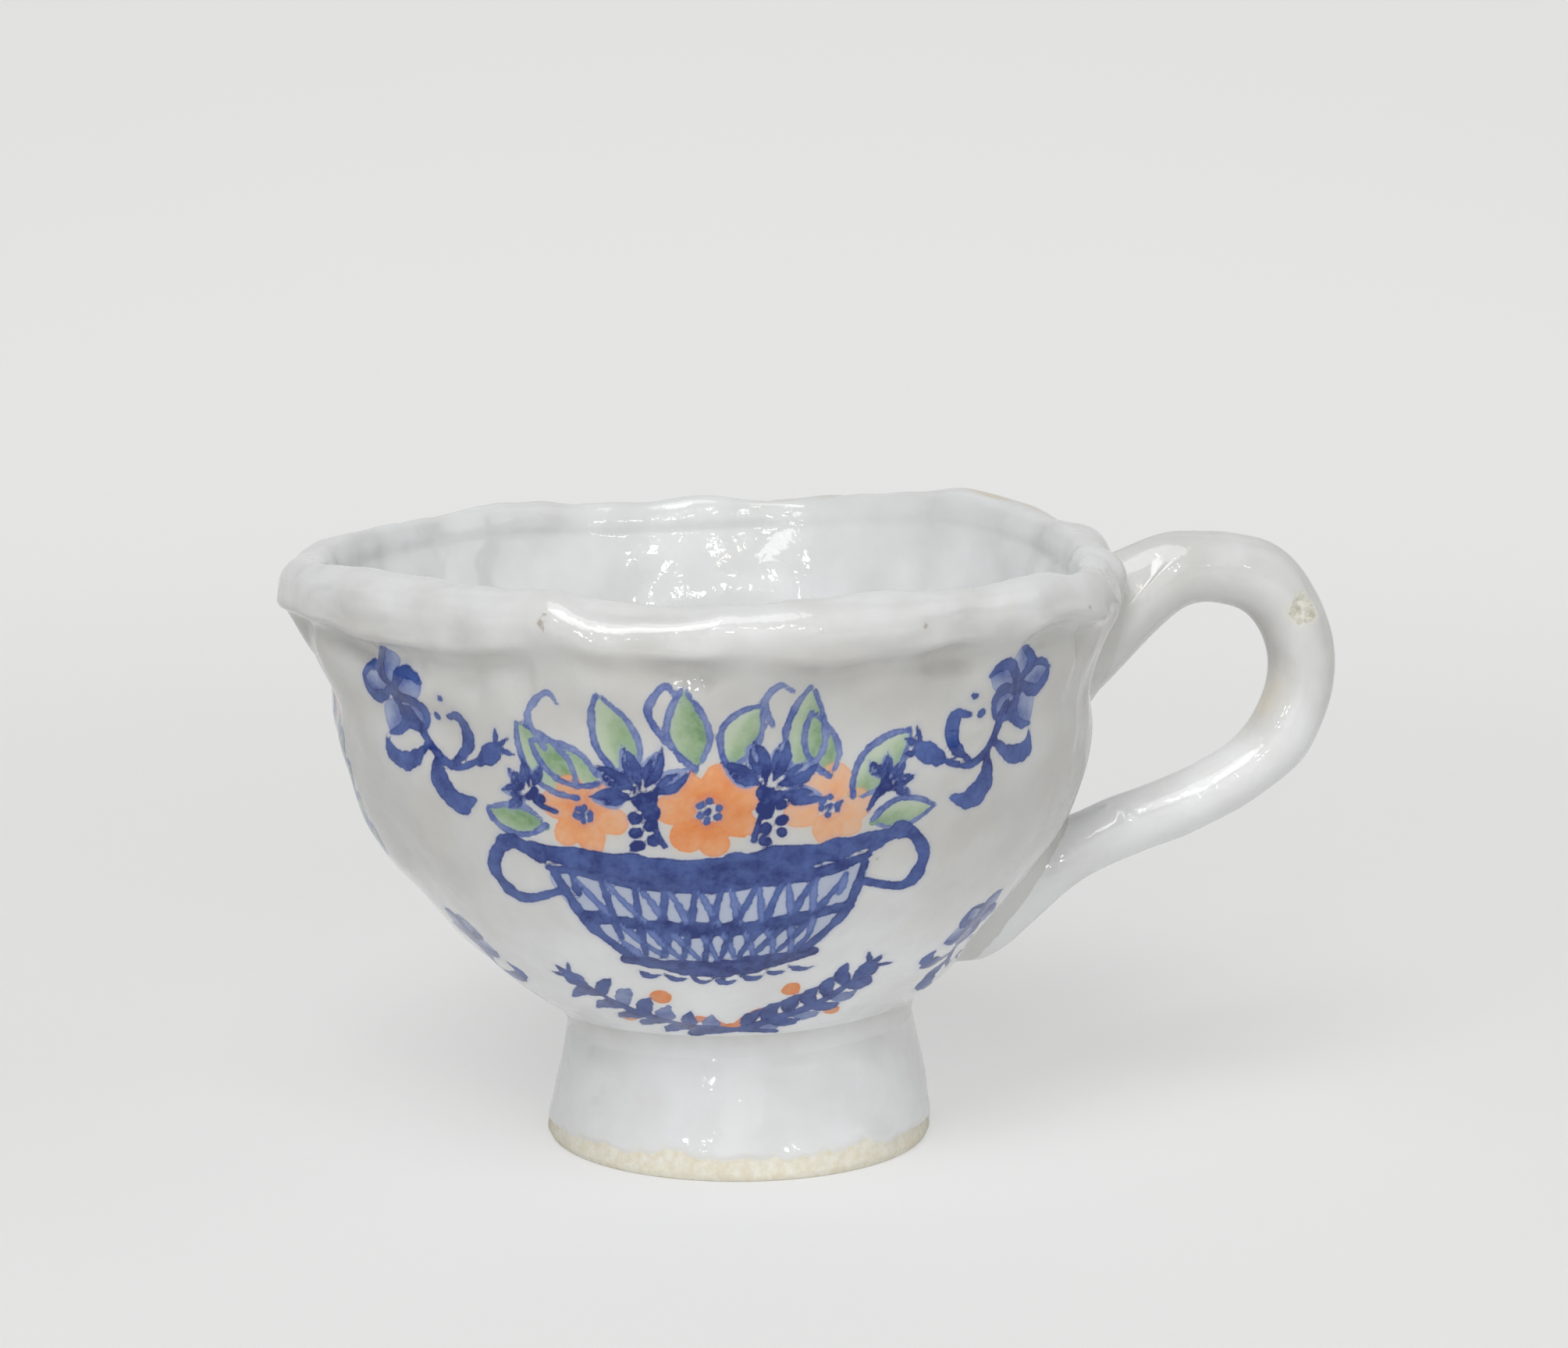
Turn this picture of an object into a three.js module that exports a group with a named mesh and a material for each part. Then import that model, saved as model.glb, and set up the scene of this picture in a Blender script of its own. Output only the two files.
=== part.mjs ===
// Hand-built maiolica teacup: a pinched bowl with a rolled rim, a flared hollow foot and an ear handle.
// Millimetres, +Z up, the handle towards +X and the painted front towards -Y.
import * as THREE from "three";

const { clamp, lerp, smoothstep, degToRad } = THREE.MathUtils;

// Bowl
const rimHeight = 77.3; // table to the top of the rim, on average
const mouthWidth = 105.2; // over the rim, left to right
const mouthDepth = 101; // over the rim, front to back
const mouthShift = 3.3; // how far the mouth leans away from the handle
const shoulderDrop = 19.2; // below the rim, where the wall starts to turn out to it
const shoulderRadius = 48.3;
const bellyFullness = 1.95; // 1 is a cone, more is a rounder belly
const creaseHeight = 17; // table to the crease between bowl and foot
const creaseRadius = 21.6;
const bottomDrop = 5; // how far the round underside hangs below the crease
const wallThickness = 4.6;

// Rim
const rimThickness = 6.4; // the roll, across
const rimCrown = 3.2; // height of the roll's round top
const coilHeight = 8.5; // from the seam with the wall to the top of the rim
const rollBulge = 0.45; // how far the roll stands out over the wall below it
const rollDrop = 4.4; // from the top of the rim to the fattest part of the roll
const rollSpread = 2.4;

// Foot
const footBaseRadius = 25.3;
const footTopRadius = 21.7;
const footFlare = 0.85; // 1 is a cone, less keeps more of the width near the table
const footWall = 4.7;
const footEdge = 1.1; // rounding of the outer edge on the table
const footInnerEdge = 0.9;

// Handle
const handleAngle = 8; // degrees behind the cup's own left-to-right line
const handleReach = 79.4; // foot axis to the far side of the loop
const handleRise = 0.6; // how far the top of the loop stands over the rim
const handleWidth = 9.2; // across the loop's plane
const handleThickness = 9.3; // in the loop's plane
const upperRootInset = 0.3; // from the round top of the rim down to the collar
const upperRootLength = 17; // up and down the wall
const upperRootWidth = 9.8;
const lowerRootInset = 1; // from the foot's fillet up to the collar
const lowerRootLength = 17.4;
const lowerRootWidth = 11;
const rootShare = 0.2; // share of the handle over which it takes up its own width
const rootSettle = 10; // how far from the wall its rings still bend with the wall

// Soft-clay joints
const collarWidth = 1.7; // along the wall
const collarHeight = 1.9; // along the handle
const footFilletUp = 2; // up the bowl from the crease
const footFilletDown = 2.3; // down the foot from the crease
const clearance = 0.3; // between pieces that touch

// Mesh fineness
const bowlSides = 64;
const footSides = 56;
const handleSides = 18;
const handleSteps = 34;

// The hand's marks: waves round the cup, each with its count, size, turn in degrees and slant up the wall.
const wallWaves = [
  { count: 2, size: 0.35, turn: 40, slant: 10 },
  { count: 3, size: 0.4, turn: 95, slant: -20 },
  { count: 5, size: 0.35, turn: 20, slant: 30 },
  { count: 8, size: 0.25, turn: 70, slant: -45 },
];
const footWaves = [
  { count: 2, size: 0.25, turn: 15, slant: 0 },
  { count: 5, size: 0.2, turn: 60, slant: 20 },
];
const rimWaves = [
  { count: 1, size: 0.4, turn: 75, slant: 0 },
  { count: 2, size: 0.4, turn: 45, slant: 0 },
  { count: 3, size: 0.4, turn: 50, slant: 0 },
  { count: 4, size: 0.5, turn: 45, slant: 0 },
  { count: 9, size: 0.15, turn: 10, slant: 0 },
];
// The corner pinched into the mouth, opposite the handle.
const pinchAngle = 192;
const pinchSize = 1.1;
const pinchSpread = 20;
// The bowl was pressed on a little askew, so the crease climbs towards the handle.
const creaseTilt = 0.7;
const creaseTiltAngle = -15;
const evenFoot = 2; // the foot is even and flat up to here
const evenFootEnd = 8; // and fully waved from here
const wavyWallRise = 12; // from the crease to where the wall is fully waved

const shoulderHeight = rimHeight - shoulderDrop;
const handleTop = rimHeight + handleRise;
const rimOuterRadius = mouthWidth / 2;
const crownStart = rimHeight - rimCrown;
const collarGap = 1.2 * clearance; // collar to handle, square to the wall
const collarSize = collarWidth + collarGap;
const upperRootHeight = crownStart - upperRootInset - collarSize - upperRootLength / 2;
const lowerRootHeight = creaseHeight + footFilletUp + lowerRootInset + collarSize + lowerRootLength / 2;

function waveSum(waves, turn, height) {
  let sum = 0;
  for (const wave of waves) {
    const rise = height / rimHeight;
    const phase = degToRad(wave.turn + wave.slant * rise);
    sum += wave.size * Math.cos(wave.count * (turn - phase));
  }
  return sum;
}

// Moves a point of the even, turned cup to its place on the hand-built one.
function handBuilt(turn, radius, height) {
  const climb = clamp((height - creaseHeight) / (rimHeight - creaseHeight), 0, 1);
  const shift = -mouthShift * (1 - (1 - climb) ** 2);
  const depth = lerp(1, mouthDepth / mouthWidth, climb);
  const wallShare = smoothstep(height, creaseHeight, creaseHeight + wavyWallRise);
  const footShare = smoothstep(height, evenFoot, evenFootEnd) * (1 - wallShare);
  const toPinch = degToRad(pinchAngle) - turn;
  const offPinch = Math.atan2(Math.sin(toPinch), Math.cos(toPinch)) / degToRad(pinchSpread);
  const pinch = pinchSize * Math.exp(-(offPinch ** 2)) * smoothstep(height, shoulderHeight, crownStart);
  const wall = waveSum(wallWaves, turn, height) * wallShare;
  const foot = waveSum(footWaves, turn, height) * footShare;
  const waved = radius + (wall + foot + pinch) * smoothstep(radius, 0, creaseRadius);
  const overFoot = smoothstep(height, evenFoot, creaseHeight - footFilletDown);
  const nearCrease = overFoot * (1 - smoothstep(height, creaseHeight, shoulderHeight));
  const tilt = creaseTilt * nearCrease * Math.cos(turn - degToRad(creaseTiltAngle)) * (radius / creaseRadius);
  const lift = tilt + waveSum(rimWaves, turn, height) * smoothstep(height, shoulderHeight, crownStart);
  return new THREE.Vector3(shift + waved * Math.cos(turn), waved * depth * Math.sin(turn), height + lift);
}

// Outline of the turned cup, as radius and height.
function underside(radius) {
  return creaseHeight - bottomDrop * (1 - (radius / creaseRadius) ** 3);
}

function outerRadius(height) {
  const rise = clamp((height - creaseHeight) / (shoulderHeight - creaseHeight), 0, 1);
  const belly = (shoulderRadius - creaseRadius) * (1 - (1 - rise) ** bellyFullness);
  const flare = (rimOuterRadius - shoulderRadius) * smoothstep(height, shoulderHeight, crownStart);
  const offRoll = (height - (rimHeight - rollDrop)) / rollSpread;
  const roll = rollBulge * Math.exp(-(offRoll ** 2));
  const overCrown = clamp((height - crownStart) / rimCrown, 0, 1);
  const crown = (rimThickness / 2) * (1 - Math.sqrt(1 - overCrown ** 2));
  return creaseRadius + belly + flare + roll - crown;
}

function thickness(height) {
  const swellStart = rimHeight - coilHeight - rimThickness / 2;
  return lerp(wallThickness, rimThickness, smoothstep(height, swellStart, crownStart));
}

// The inner face lies one wall thickness in from the outer face, square to it.
function wallPair(height) {
  const step = 0.05;
  const top = Math.min(height + step, crownStart);
  const slope = (outerRadius(top) - outerRadius(top - 2 * step)) / (2 * step);
  const square = Math.hypot(1, slope);
  const depth = thickness(height);
  const outer = [outerRadius(height), height];
  return { outer, inner: [outer[0] - depth / square, height + (depth * slope) / square] };
}

function floorPair(radius) {
  const slope = (3 * bottomDrop * (radius / creaseRadius) ** 2) / creaseRadius;
  const square = Math.hypot(1, slope);
  const outer = [radius, underside(radius)];
  const inner = [radius - (wallThickness * slope) / square, outer[1] + wallThickness / square];
  return { outer, inner };
}

function spread(from, to, count) {
  return Array.from({ length: count + 1 }, (_, index) => lerp(from, to, index / count));
}

// Joins rings of points into one closed body. A ring of one point is a pole.
function ringBody(rings, loops) {
  const points = [];
  const starts = rings.map((ring) => {
    const start = points.length;
    points.push(...ring);
    return start;
  });
  const faces = [];
  const last = loops ? rings.length : rings.length - 1;
  for (let row = 0; row < last; row += 1) {
    const next = (row + 1) % rings.length;
    const sides = Math.max(rings[row].length, rings[next].length);
    for (let side = 0; side < sides; side += 1) {
      const low = (index) => starts[row] + (rings[row].length === 1 ? 0 : index % sides);
      const high = (index) => starts[next] + (rings[next].length === 1 ? 0 : index % sides);
      if (rings[row].length > 1) {
        faces.push(low(side), low(side + 1), high(side));
      }
      if (rings[next].length > 1) {
        faces.push(low(side + 1), high(side + 1), high(side));
      }
    }
  }
  const geometry = new THREE.BufferGeometry();
  const flat = points.flatMap((point) => [point.x, point.y, point.z]);
  geometry.setAttribute("position", new THREE.Float32BufferAttribute(flat, 3));
  geometry.setIndex(faces);
  geometry.computeVertexNormals();
  return geometry;
}

// Turns an outline of radius and height pairs round the cup, through the hand-built shape.
function turnedRings(outline, sides) {
  return outline.map(([radius, height]) => {
    if (radius === 0) {
      return [handBuilt(0, 0, height)];
    }
    const turn = (side) => (side / sides) * 2 * Math.PI;
    return Array.from({ length: sides }, (_, side) => handBuilt(turn(side), radius, height));
  });
}

function bowlGeometry() {
  const floor = spread(0, creaseRadius, 6).map(floorPair);
  const wall = spread(creaseHeight, rimHeight - coilHeight, 15).map(wallPair);
  const outer = [...floor.map((pair) => pair.outer), ...wall.slice(1).map((pair) => pair.outer)];
  const inner = [...floor.map((pair) => pair.inner), ...wall.slice(2).map((pair) => pair.inner)];
  return ringBody(turnedRings([...outer, ...inner.reverse()], bowlSides), false);
}

function rimGeometry() {
  const wall = spread(rimHeight - coilHeight + clearance, crownStart, 4).map(wallPair);
  const edge = wall[wall.length - 1];
  const crownMiddle = (edge.outer[0] + edge.inner[0]) / 2;
  const crownHalf = (edge.outer[0] - edge.inner[0]) / 2;
  const crown = [];
  const arcSteps = 6;
  for (let step = 1; step < arcSteps; step += 1) {
    const angle = (step / arcSteps) * Math.PI;
    crown.push([crownMiddle + crownHalf * Math.cos(angle), crownStart + rimCrown * Math.sin(angle)]);
  }
  const inner = wall.map((pair) => pair.inner).reverse();
  return ringBody(turnedRings([...wall.map((pair) => pair.outer), ...crown, ...inner], bowlSides), true);
}

function footRadius(height) {
  const top = underside(footTopRadius) - clearance;
  const rise = clamp(height / top, 0, 1);
  return footTopRadius + (footBaseRadius - footTopRadius) * (1 - rise) ** footFlare;
}

function footGeometry() {
  const seat = (radius) => underside(Math.min(radius, creaseRadius)) - clearance;
  const top = seat(footTopRadius);
  const innerTop = footTopRadius - footWall;
  const outside = [];
  for (const angle of spread(0, 90, 3)) {
    const out = footRadius(footEdge) - footEdge * (1 - Math.sin(degToRad(angle)));
    outside.push([out, footEdge * (1 - Math.cos(degToRad(angle)))]);
  }
  outside.push(...spread(footEdge, top, 5).slice(1).map((height) => [footRadius(height), height]));
  const seatRing = spread(footTopRadius, innerTop, 2).slice(1).map((radius) => [radius, seat(radius)]);
  const inside = spread(seat(innerTop), footInnerEdge, 4).slice(1).map((height) => {
    return [footRadius(height) - footWall, height];
  });
  const base = [[footRadius(footInnerEdge) - footWall + footInnerEdge, 0]];
  return ringBody(turnedRings([...outside, ...seatRing, ...inside, ...base], footSides), true);
}

// A fillet of soft clay in the crease: two faces along the pieces, and a hollow outer face.
function footJointGeometry() {
  const top = underside(footTopRadius) - clearance;
  const alongBowl = wallPair(creaseHeight + footFilletUp).outer;
  const alongFoot = [footRadius(top - footFilletDown), top - footFilletDown];
  const clear = 1.5 * clearance; // sideways, which leaves the clearance square to the sloping wall
  const corner = [Math.max(creaseRadius, footTopRadius) + clear, creaseHeight];
  const upEnd = [alongBowl[0] + clear, alongBowl[1] - clearance / 2];
  const downEnd = [alongFoot[0] + clear, alongFoot[1]];
  const hollow = 0.45;
  const middle = [
    lerp((upEnd[0] + downEnd[0]) / 2, corner[0], hollow),
    lerp((upEnd[1] + downEnd[1]) / 2, corner[1], hollow),
  ];
  return ringBody(turnedRings([downEnd, middle, upEnd, corner], footSides), true);
}

// A point beside the handle's line on the outside of the cup, lifted off the clay.
function onWall(across, height, lifted) {
  const line = degToRad(handleAngle);
  const at = (sideways, up) => {
    const radius = outerRadius(up);
    return handBuilt(line + sideways / radius, radius, up);
  };
  const step = 0.2;
  const point = at(across, height);
  const sideways = at(across + step, height).sub(at(across - step, height));
  const upwards = at(across, height + step).sub(at(across, height - step));
  return point.add(sideways.cross(upwards).normalize().multiplyScalar(lifted));
}

const upperRoot = { height: upperRootHeight, length: upperRootLength, width: upperRootWidth };
const lowerRoot = { height: lowerRootHeight, length: lowerRootLength, width: lowerRootWidth };

// A ring round a handle root, grown along the wall and lifted off it.
function rootRing(root, size, lifted) {
  return Array.from({ length: handleSides }, (_, side) => {
    const angle = (side / handleSides) * 2 * Math.PI;
    const across = -(root.width / 2 + size) * Math.sin(angle);
    const up = (root.length / 2 + size) * Math.cos(angle);
    return onWall(across, root.height + up, lifted);
  });
}

// The end face of a root follows the wall, so it is made of smaller and smaller rings.
function rootFace(root) {
  const rings = [[onWall(0, root.height, clearance)]];
  for (const share of [0.35, 0.7]) {
    const smaller = { height: root.height, length: root.length * share, width: root.width * share };
    rings.push(rootRing(smaller, 0, clearance));
  }
  rings.push(rootRing(root, 0, clearance));
  return rings;
}

// Stations along the handle, from the upper root to the lower one: how far out from the wall towards the
// reach, how far up from the lower root to the top, the extra thickness, and how far the section has turned
// from upright, in degrees.
const stations = [
  { out: 0.15, up: 0.935, extra: 2.2, tip: -4 },
  { out: 0.44, up: 1, extra: 0.6, tip: 0 },
  { out: 0.8, up: 0.945, extra: 0.6, tip: 33 },
  { out: 1, up: 0.71, extra: 0, tip: 84 },
  { out: 0.89, up: 0.44, extra: -0.1, tip: 112 },
  { out: 0.57, up: 0.265, extra: -1.4, tip: 154 },
  { out: 0.35, up: 0.19, extra: -1.4, tip: 162 },
  { out: 0.23, up: 0.135, extra: -0.6, tip: 176 },
  { out: 0.11, up: 0.055, extra: 5.4, tip: 195 },
];

// The loop turns over on its way down, so the lower root's rings start at their lowest point.
function flipped(ring) {
  const half = handleSides / 2;
  return ring.length === 1 ? ring : ring.map((_, index) => ring[(half - index + handleSides) % handleSides]);
}

function handleGeometry() {
  const line = degToRad(handleAngle);
  const outward = new THREE.Vector3(Math.cos(line), Math.sin(line), 0);
  const side = new THREE.Vector3(-Math.sin(line), Math.cos(line), 0);
  const lift = clearance + collarHeight;
  const besideRim = onWall(0, crownStart, 0).dot(outward);
  const besideRoot = onWall(0, lowerRootHeight, 0).dot(outward);
  const top = handleTop - handleThickness / 2;
  const reach = handleReach - handleThickness / 2;
  const inPlane = (out, up) => outward.clone().multiplyScalar(out).setZ(up);
  const outerEdge = [onWall(0, upperRootHeight + upperRootLength / 2, lift)];
  const innerEdge = [onWall(0, upperRootHeight - upperRootLength / 2, lift)];
  for (const station of stations) {
    const out = lerp(lerp(besideRoot, besideRim, station.up), reach, station.out);
    const up = lerp(lowerRootHeight, top, station.up);
    const half = (handleThickness + station.extra) / 2;
    const tip = degToRad(station.tip);
    outerEdge.push(inPlane(out + half * Math.sin(tip), up + half * Math.cos(tip)));
    innerEdge.push(inPlane(out - half * Math.sin(tip), up - half * Math.cos(tip)));
  }
  outerEdge.push(onWall(0, lowerRootHeight - lowerRootLength / 2, lift));
  innerEdge.push(onWall(0, lowerRootHeight + lowerRootLength / 2, lift));
  const outerLine = new THREE.CatmullRomCurve3(outerEdge, false, "centripetal");
  const innerLine = new THREE.CatmullRomCurve3(innerEdge, false, "centripetal");
  const rings = [...rootFace(upperRoot), rootRing(upperRoot, 0, lift)];
  for (let step = 1; step < handleSteps; step += 1) {
    const share = step / handleSteps;
    const along = outerLine.getPoint(share).sub(innerLine.getPoint(share)).multiplyScalar(0.5);
    const centre = innerLine.getPoint(share).add(along);
    const nearUpper = 1 - smoothstep(share, 0, rootShare);
    const nearLower = smoothstep(share, 1 - rootShare, 1);
    const upperWidth = (upperRootWidth - handleWidth) * nearUpper;
    const lowerWidth = (lowerRootWidth - handleWidth) * nearLower;
    const wide = (handleWidth + upperWidth + lowerWidth) / 2;
    const ring = Array.from({ length: handleSides }, (_, index) => {
      const angle = (index / handleSides) * 2 * Math.PI;
      const point = centre.clone().addScaledVector(along, Math.cos(angle));
      return point.addScaledVector(side, -wide * Math.sin(angle));
    });
    const offUpper = centre.distanceTo(onWall(0, upperRootHeight, lift));
    const offLower = centre.distanceTo(onWall(0, lowerRootHeight, lift));
    if (offUpper < rootSettle) {
      const bent = rootRing(upperRoot, 0, lift + offUpper);
      ring.forEach((point, index) => point.lerp(bent[index], 1 - smoothstep(offUpper, 0, rootSettle)));
    }
    if (offLower < rootSettle) {
      const bent = flipped(rootRing(lowerRoot, 0, lift + offLower));
      ring.forEach((point, index) => point.lerp(bent[index], 1 - smoothstep(offLower, 0, rootSettle)));
    }
    rings.push(ring);
  }
  rings.push(flipped(rootRing(lowerRoot, 0, lift)));
  rings.push(...rootFace(lowerRoot).reverse().map(flipped));
  return ringBody(rings, false);
}

// A collar of soft clay round a root: one face on the wall, one on the handle, and a hollow outer face.
function collarGeometry(root) {
  const hollow = 0.3;
  const rings = [
    rootRing(root, collarGap, clearance),
    rootRing(root, collarSize, clearance),
    rootRing(root, collarGap + collarWidth * hollow, clearance + collarHeight * hollow),
    rootRing(root, collarGap, clearance + collarHeight),
  ];
  return ringBody(rings, true);
}

const glaze = { color: 0xe6e7e6, roughness: 0.16, metalness: 0 };

const cup = new THREE.Group();

function addPiece(name, geometry) {
  const piece = new THREE.Mesh(geometry, new THREE.MeshStandardMaterial(glaze));
  piece.name = name;
  cup.add(piece);
}

addPiece("bowl", bowlGeometry());
addPiece("rim_coil", rimGeometry());
addPiece("foot_ring", footGeometry());
addPiece("foot_joint", footJointGeometry());
addPiece("handle", handleGeometry());
addPiece("handle_upper_joint", collarGeometry(upperRoot));
addPiece("handle_lower_joint", collarGeometry(lowerRoot));

// The origin is on the table, in the middle of the whole cup.
const extent = new THREE.Box3().setFromObject(cup);
const middle = extent.getCenter(new THREE.Vector3());
cup.position.set(-middle.x, -middle.y, -extent.min.z);
cup.updateMatrixWorld(true);

export default cup;
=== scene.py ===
# %% [markdown]
# # A hand-built maiolica teacup
# This lesson dresses a plain CAD teacup so that it looks like hand-built, tin-glazed earthenware with brush
# painting. The clay was pinched and pressed by hand, so nothing on it is quite round or quite even, and a
# thick white glaze softens every edge. We build each piece again as a finer skin over the same form, paint
# it with brush strokes that are stored on the skin's points, and give it a glossy glaze made of nodes.

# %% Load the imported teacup
import math

import bpy
import numpy as np
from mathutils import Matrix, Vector


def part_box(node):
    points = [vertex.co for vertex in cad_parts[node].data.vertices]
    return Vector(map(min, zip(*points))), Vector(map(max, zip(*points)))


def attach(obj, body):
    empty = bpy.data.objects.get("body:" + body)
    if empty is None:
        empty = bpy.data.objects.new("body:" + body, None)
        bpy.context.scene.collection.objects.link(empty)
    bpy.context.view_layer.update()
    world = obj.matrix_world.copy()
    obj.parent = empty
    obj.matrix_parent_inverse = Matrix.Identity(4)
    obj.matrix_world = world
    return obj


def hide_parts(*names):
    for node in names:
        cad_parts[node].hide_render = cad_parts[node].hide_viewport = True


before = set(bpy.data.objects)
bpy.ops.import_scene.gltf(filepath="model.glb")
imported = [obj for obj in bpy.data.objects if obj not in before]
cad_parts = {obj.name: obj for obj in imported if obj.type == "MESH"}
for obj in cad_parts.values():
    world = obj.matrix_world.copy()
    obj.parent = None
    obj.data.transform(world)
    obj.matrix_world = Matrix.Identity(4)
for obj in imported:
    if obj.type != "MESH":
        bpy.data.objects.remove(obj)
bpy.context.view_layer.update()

print("pieces in the CAD:", sorted(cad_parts))

# %% [markdown]
# ## Where the cup's own axis is
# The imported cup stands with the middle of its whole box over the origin. Our shapes are easier to write
# round the axis of the foot, in millimetres. The foot ring tells us where that axis is, and one small
# function takes every finished point into Blender's metres.

# %% The foot's axis, and millimetres to metres
foot_low, foot_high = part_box("foot_ring")
AXIS_X = 500 * (foot_low[0] + foot_high[0])
AXIS_Y = 500 * (foot_low[1] + foot_high[1])


def in_metres(points):
    return (points + np.array([AXIS_X, AXIS_Y, 0.0])) / 1000


print("foot axis at", round(AXIS_X, 2), round(AXIS_Y, 2), "mm")

# %% [markdown]
# ## The camera
# The photograph was taken from half a metre away with a long lens, a little above the rim and tipped down
# by less than ten degrees. The ovals of the rim and of the foot give these numbers: the higher the eye, the
# rounder both ovals look, and the closer the eye, the more they differ.

# %% Set the camera
CAMERA_RIGHT = 5.9  # mm from the foot's axis
CAMERA_AWAY = 500.0
CAMERA_UP = 144.6
CAMERA_TILT = 9.57  # degrees down
CAMERA_LENS = 90.56  # mm, on a 36 mm sensor

camera_data = bpy.data.cameras.new("camera")
camera_data.sensor_fit = "HORIZONTAL"
camera_data.sensor_width = 36
camera_data.lens = CAMERA_LENS
camera_data.clip_start = 0.01
camera_data.clip_end = 20
camera = bpy.data.objects.new("camera", camera_data)
camera.location = in_metres(np.array([CAMERA_RIGHT, -CAMERA_AWAY, CAMERA_UP]))
camera.rotation_euler = (math.radians(90 - CAMERA_TILT), 0, 0)
bpy.context.scene.collection.objects.link(camera)
bpy.context.scene.camera = camera
print("camera at", tuple(round(value, 4) for value in camera.location))

# %% [markdown]
# ## The sizes of the cup
# These are the same sizes as in the CAD, so the fine skin lies where the plain solid is. The wall is an
# outline that is turned round the axis, like a pot on a wheel, and then pushed about by slow waves, because
# this cup never was on a wheel.

# %% Named sizes in millimetres
RIM_HEIGHT = 77.3
MOUTH_WIDTH = 105.2
MOUTH_DEPTH = 101
MOUTH_SHIFT = 3.3
SHOULDER_DROP = 19.2
SHOULDER_RADIUS = 48.3
BELLY_FULLNESS = 1.95
CREASE_HEIGHT = 17
CREASE_RADIUS = 21.6
BOTTOM_DROP = 5
WALL_THICKNESS = 4.6
RIM_THICKNESS = 6.4
RIM_CROWN = 3.2
COIL_HEIGHT = 8.5
ROLL_BULGE = 0.45
ROLL_DROP = 4.4
ROLL_SPREAD = 2.4
FOOT_BASE_RADIUS = 25.3
FOOT_TOP_RADIUS = 21.7
FOOT_FLARE = 0.85
FOOT_WALL = 4.7
FOOT_EDGE = 1.1
FOOT_INNER_EDGE = 0.9
PINCH_ANGLE = 192  # degrees round from the handle's side
PINCH_SIZE = 1.1
PINCH_SPREAD = 20  # degrees
CREASE_TILT = 0.7
CREASE_TILT_ANGLE = -15  # degrees
EVEN_FOOT = 2
EVEN_FOOT_END = 8
WAVY_WALL_RISE = 12
FOOT_FILLET_DOWN = 2.3
FOOT_FILLET_UP = 2

SHOULDER_HEIGHT = RIM_HEIGHT - SHOULDER_DROP
CROWN_START = RIM_HEIGHT - RIM_CROWN
SEAM_HEIGHT = RIM_HEIGHT - COIL_HEIGHT

# Each wave has its count round the cup, its size, its turn in degrees and its slant up the wall.
WALL_WAVES = [(2, 0.35, 40, 10), (3, 0.4, 95, -20), (5, 0.35, 20, 30), (8, 0.25, 70, -45)]
FOOT_WAVES = [(2, 0.25, 15, 0), (5, 0.2, 60, 20)]
RIM_WAVES = [(1, 0.4, 75, 0), (2, 0.4, 45, 0), (3, 0.4, 50, 0), (4, 0.5, 45, 0), (9, 0.15, 10, 0)]
print("the wall is", WALL_THICKNESS, "mm thick and the rolled rim", RIM_THICKNESS)

# %% [markdown]
# ## From a turned pot to a pinched one
# `smooth` fades one thing into another without a corner. `waves` adds up slow ripples round the cup.
# `hand_built` takes a point of the even pot, given as a turn, a radius and a height, to its place on the
# real one: the mouth leans away from the handle, a corner is pinched into the left of the rim, and the
# rim's top rises and falls.

# %% Helpers that bend the even pot
def smooth(value, start, end):
    share = np.clip((value - start) / (end - start), 0, 1)
    return share * share * (3 - 2 * share)


def blend(first, second, share):
    return first + (second - first) * share


def bell(value, middle, spread):
    return np.exp(-(((value - middle) / spread) ** 2))


def waves(rows, turn, height):
    total = 0
    for count, size, start, slant in rows:
        phase = np.radians(start + slant * height / RIM_HEIGHT)
        total = total + size * np.cos(count * (turn - phase))
    return total


def hand_built(turn, radius, height):
    climb = np.clip((height - CREASE_HEIGHT) / (RIM_HEIGHT - CREASE_HEIGHT), 0, 1)
    shift = -MOUTH_SHIFT * (1 - (1 - climb) ** 2)
    depth = blend(1, MOUTH_DEPTH / MOUTH_WIDTH, climb)
    wall_share = smooth(height, CREASE_HEIGHT, CREASE_HEIGHT + WAVY_WALL_RISE)
    foot_share = smooth(height, EVEN_FOOT, EVEN_FOOT_END) * (1 - wall_share)
    to_pinch = math.radians(PINCH_ANGLE) - turn
    off_pinch = np.arctan2(np.sin(to_pinch), np.cos(to_pinch))
    near_rim = smooth(height, SHOULDER_HEIGHT, CROWN_START)
    pinch = PINCH_SIZE * bell(off_pinch, 0, math.radians(PINCH_SPREAD)) * near_rim
    ripple = waves(WALL_WAVES, turn, height) * wall_share + waves(FOOT_WAVES, turn, height) * foot_share
    waved = radius + (ripple + pinch) * smooth(radius, 0, CREASE_RADIUS)
    near_crease = smooth(height, EVEN_FOOT, CREASE_HEIGHT - FOOT_FILLET_DOWN)
    near_crease = near_crease * (1 - smooth(height, CREASE_HEIGHT, SHOULDER_HEIGHT))
    tilt = CREASE_TILT * near_crease * np.cos(turn - math.radians(CREASE_TILT_ANGLE)) * radius / CREASE_RADIUS
    lift = tilt + waves(RIM_WAVES, turn, height) * near_rim
    return np.stack([shift + waved * np.cos(turn), waved * depth * np.sin(turn), height + lift], axis=-1)


print("rim, handle side, in mm:", hand_built(np.array(0.0), MOUTH_WIDTH / 2, CROWN_START).round(1))

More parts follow.
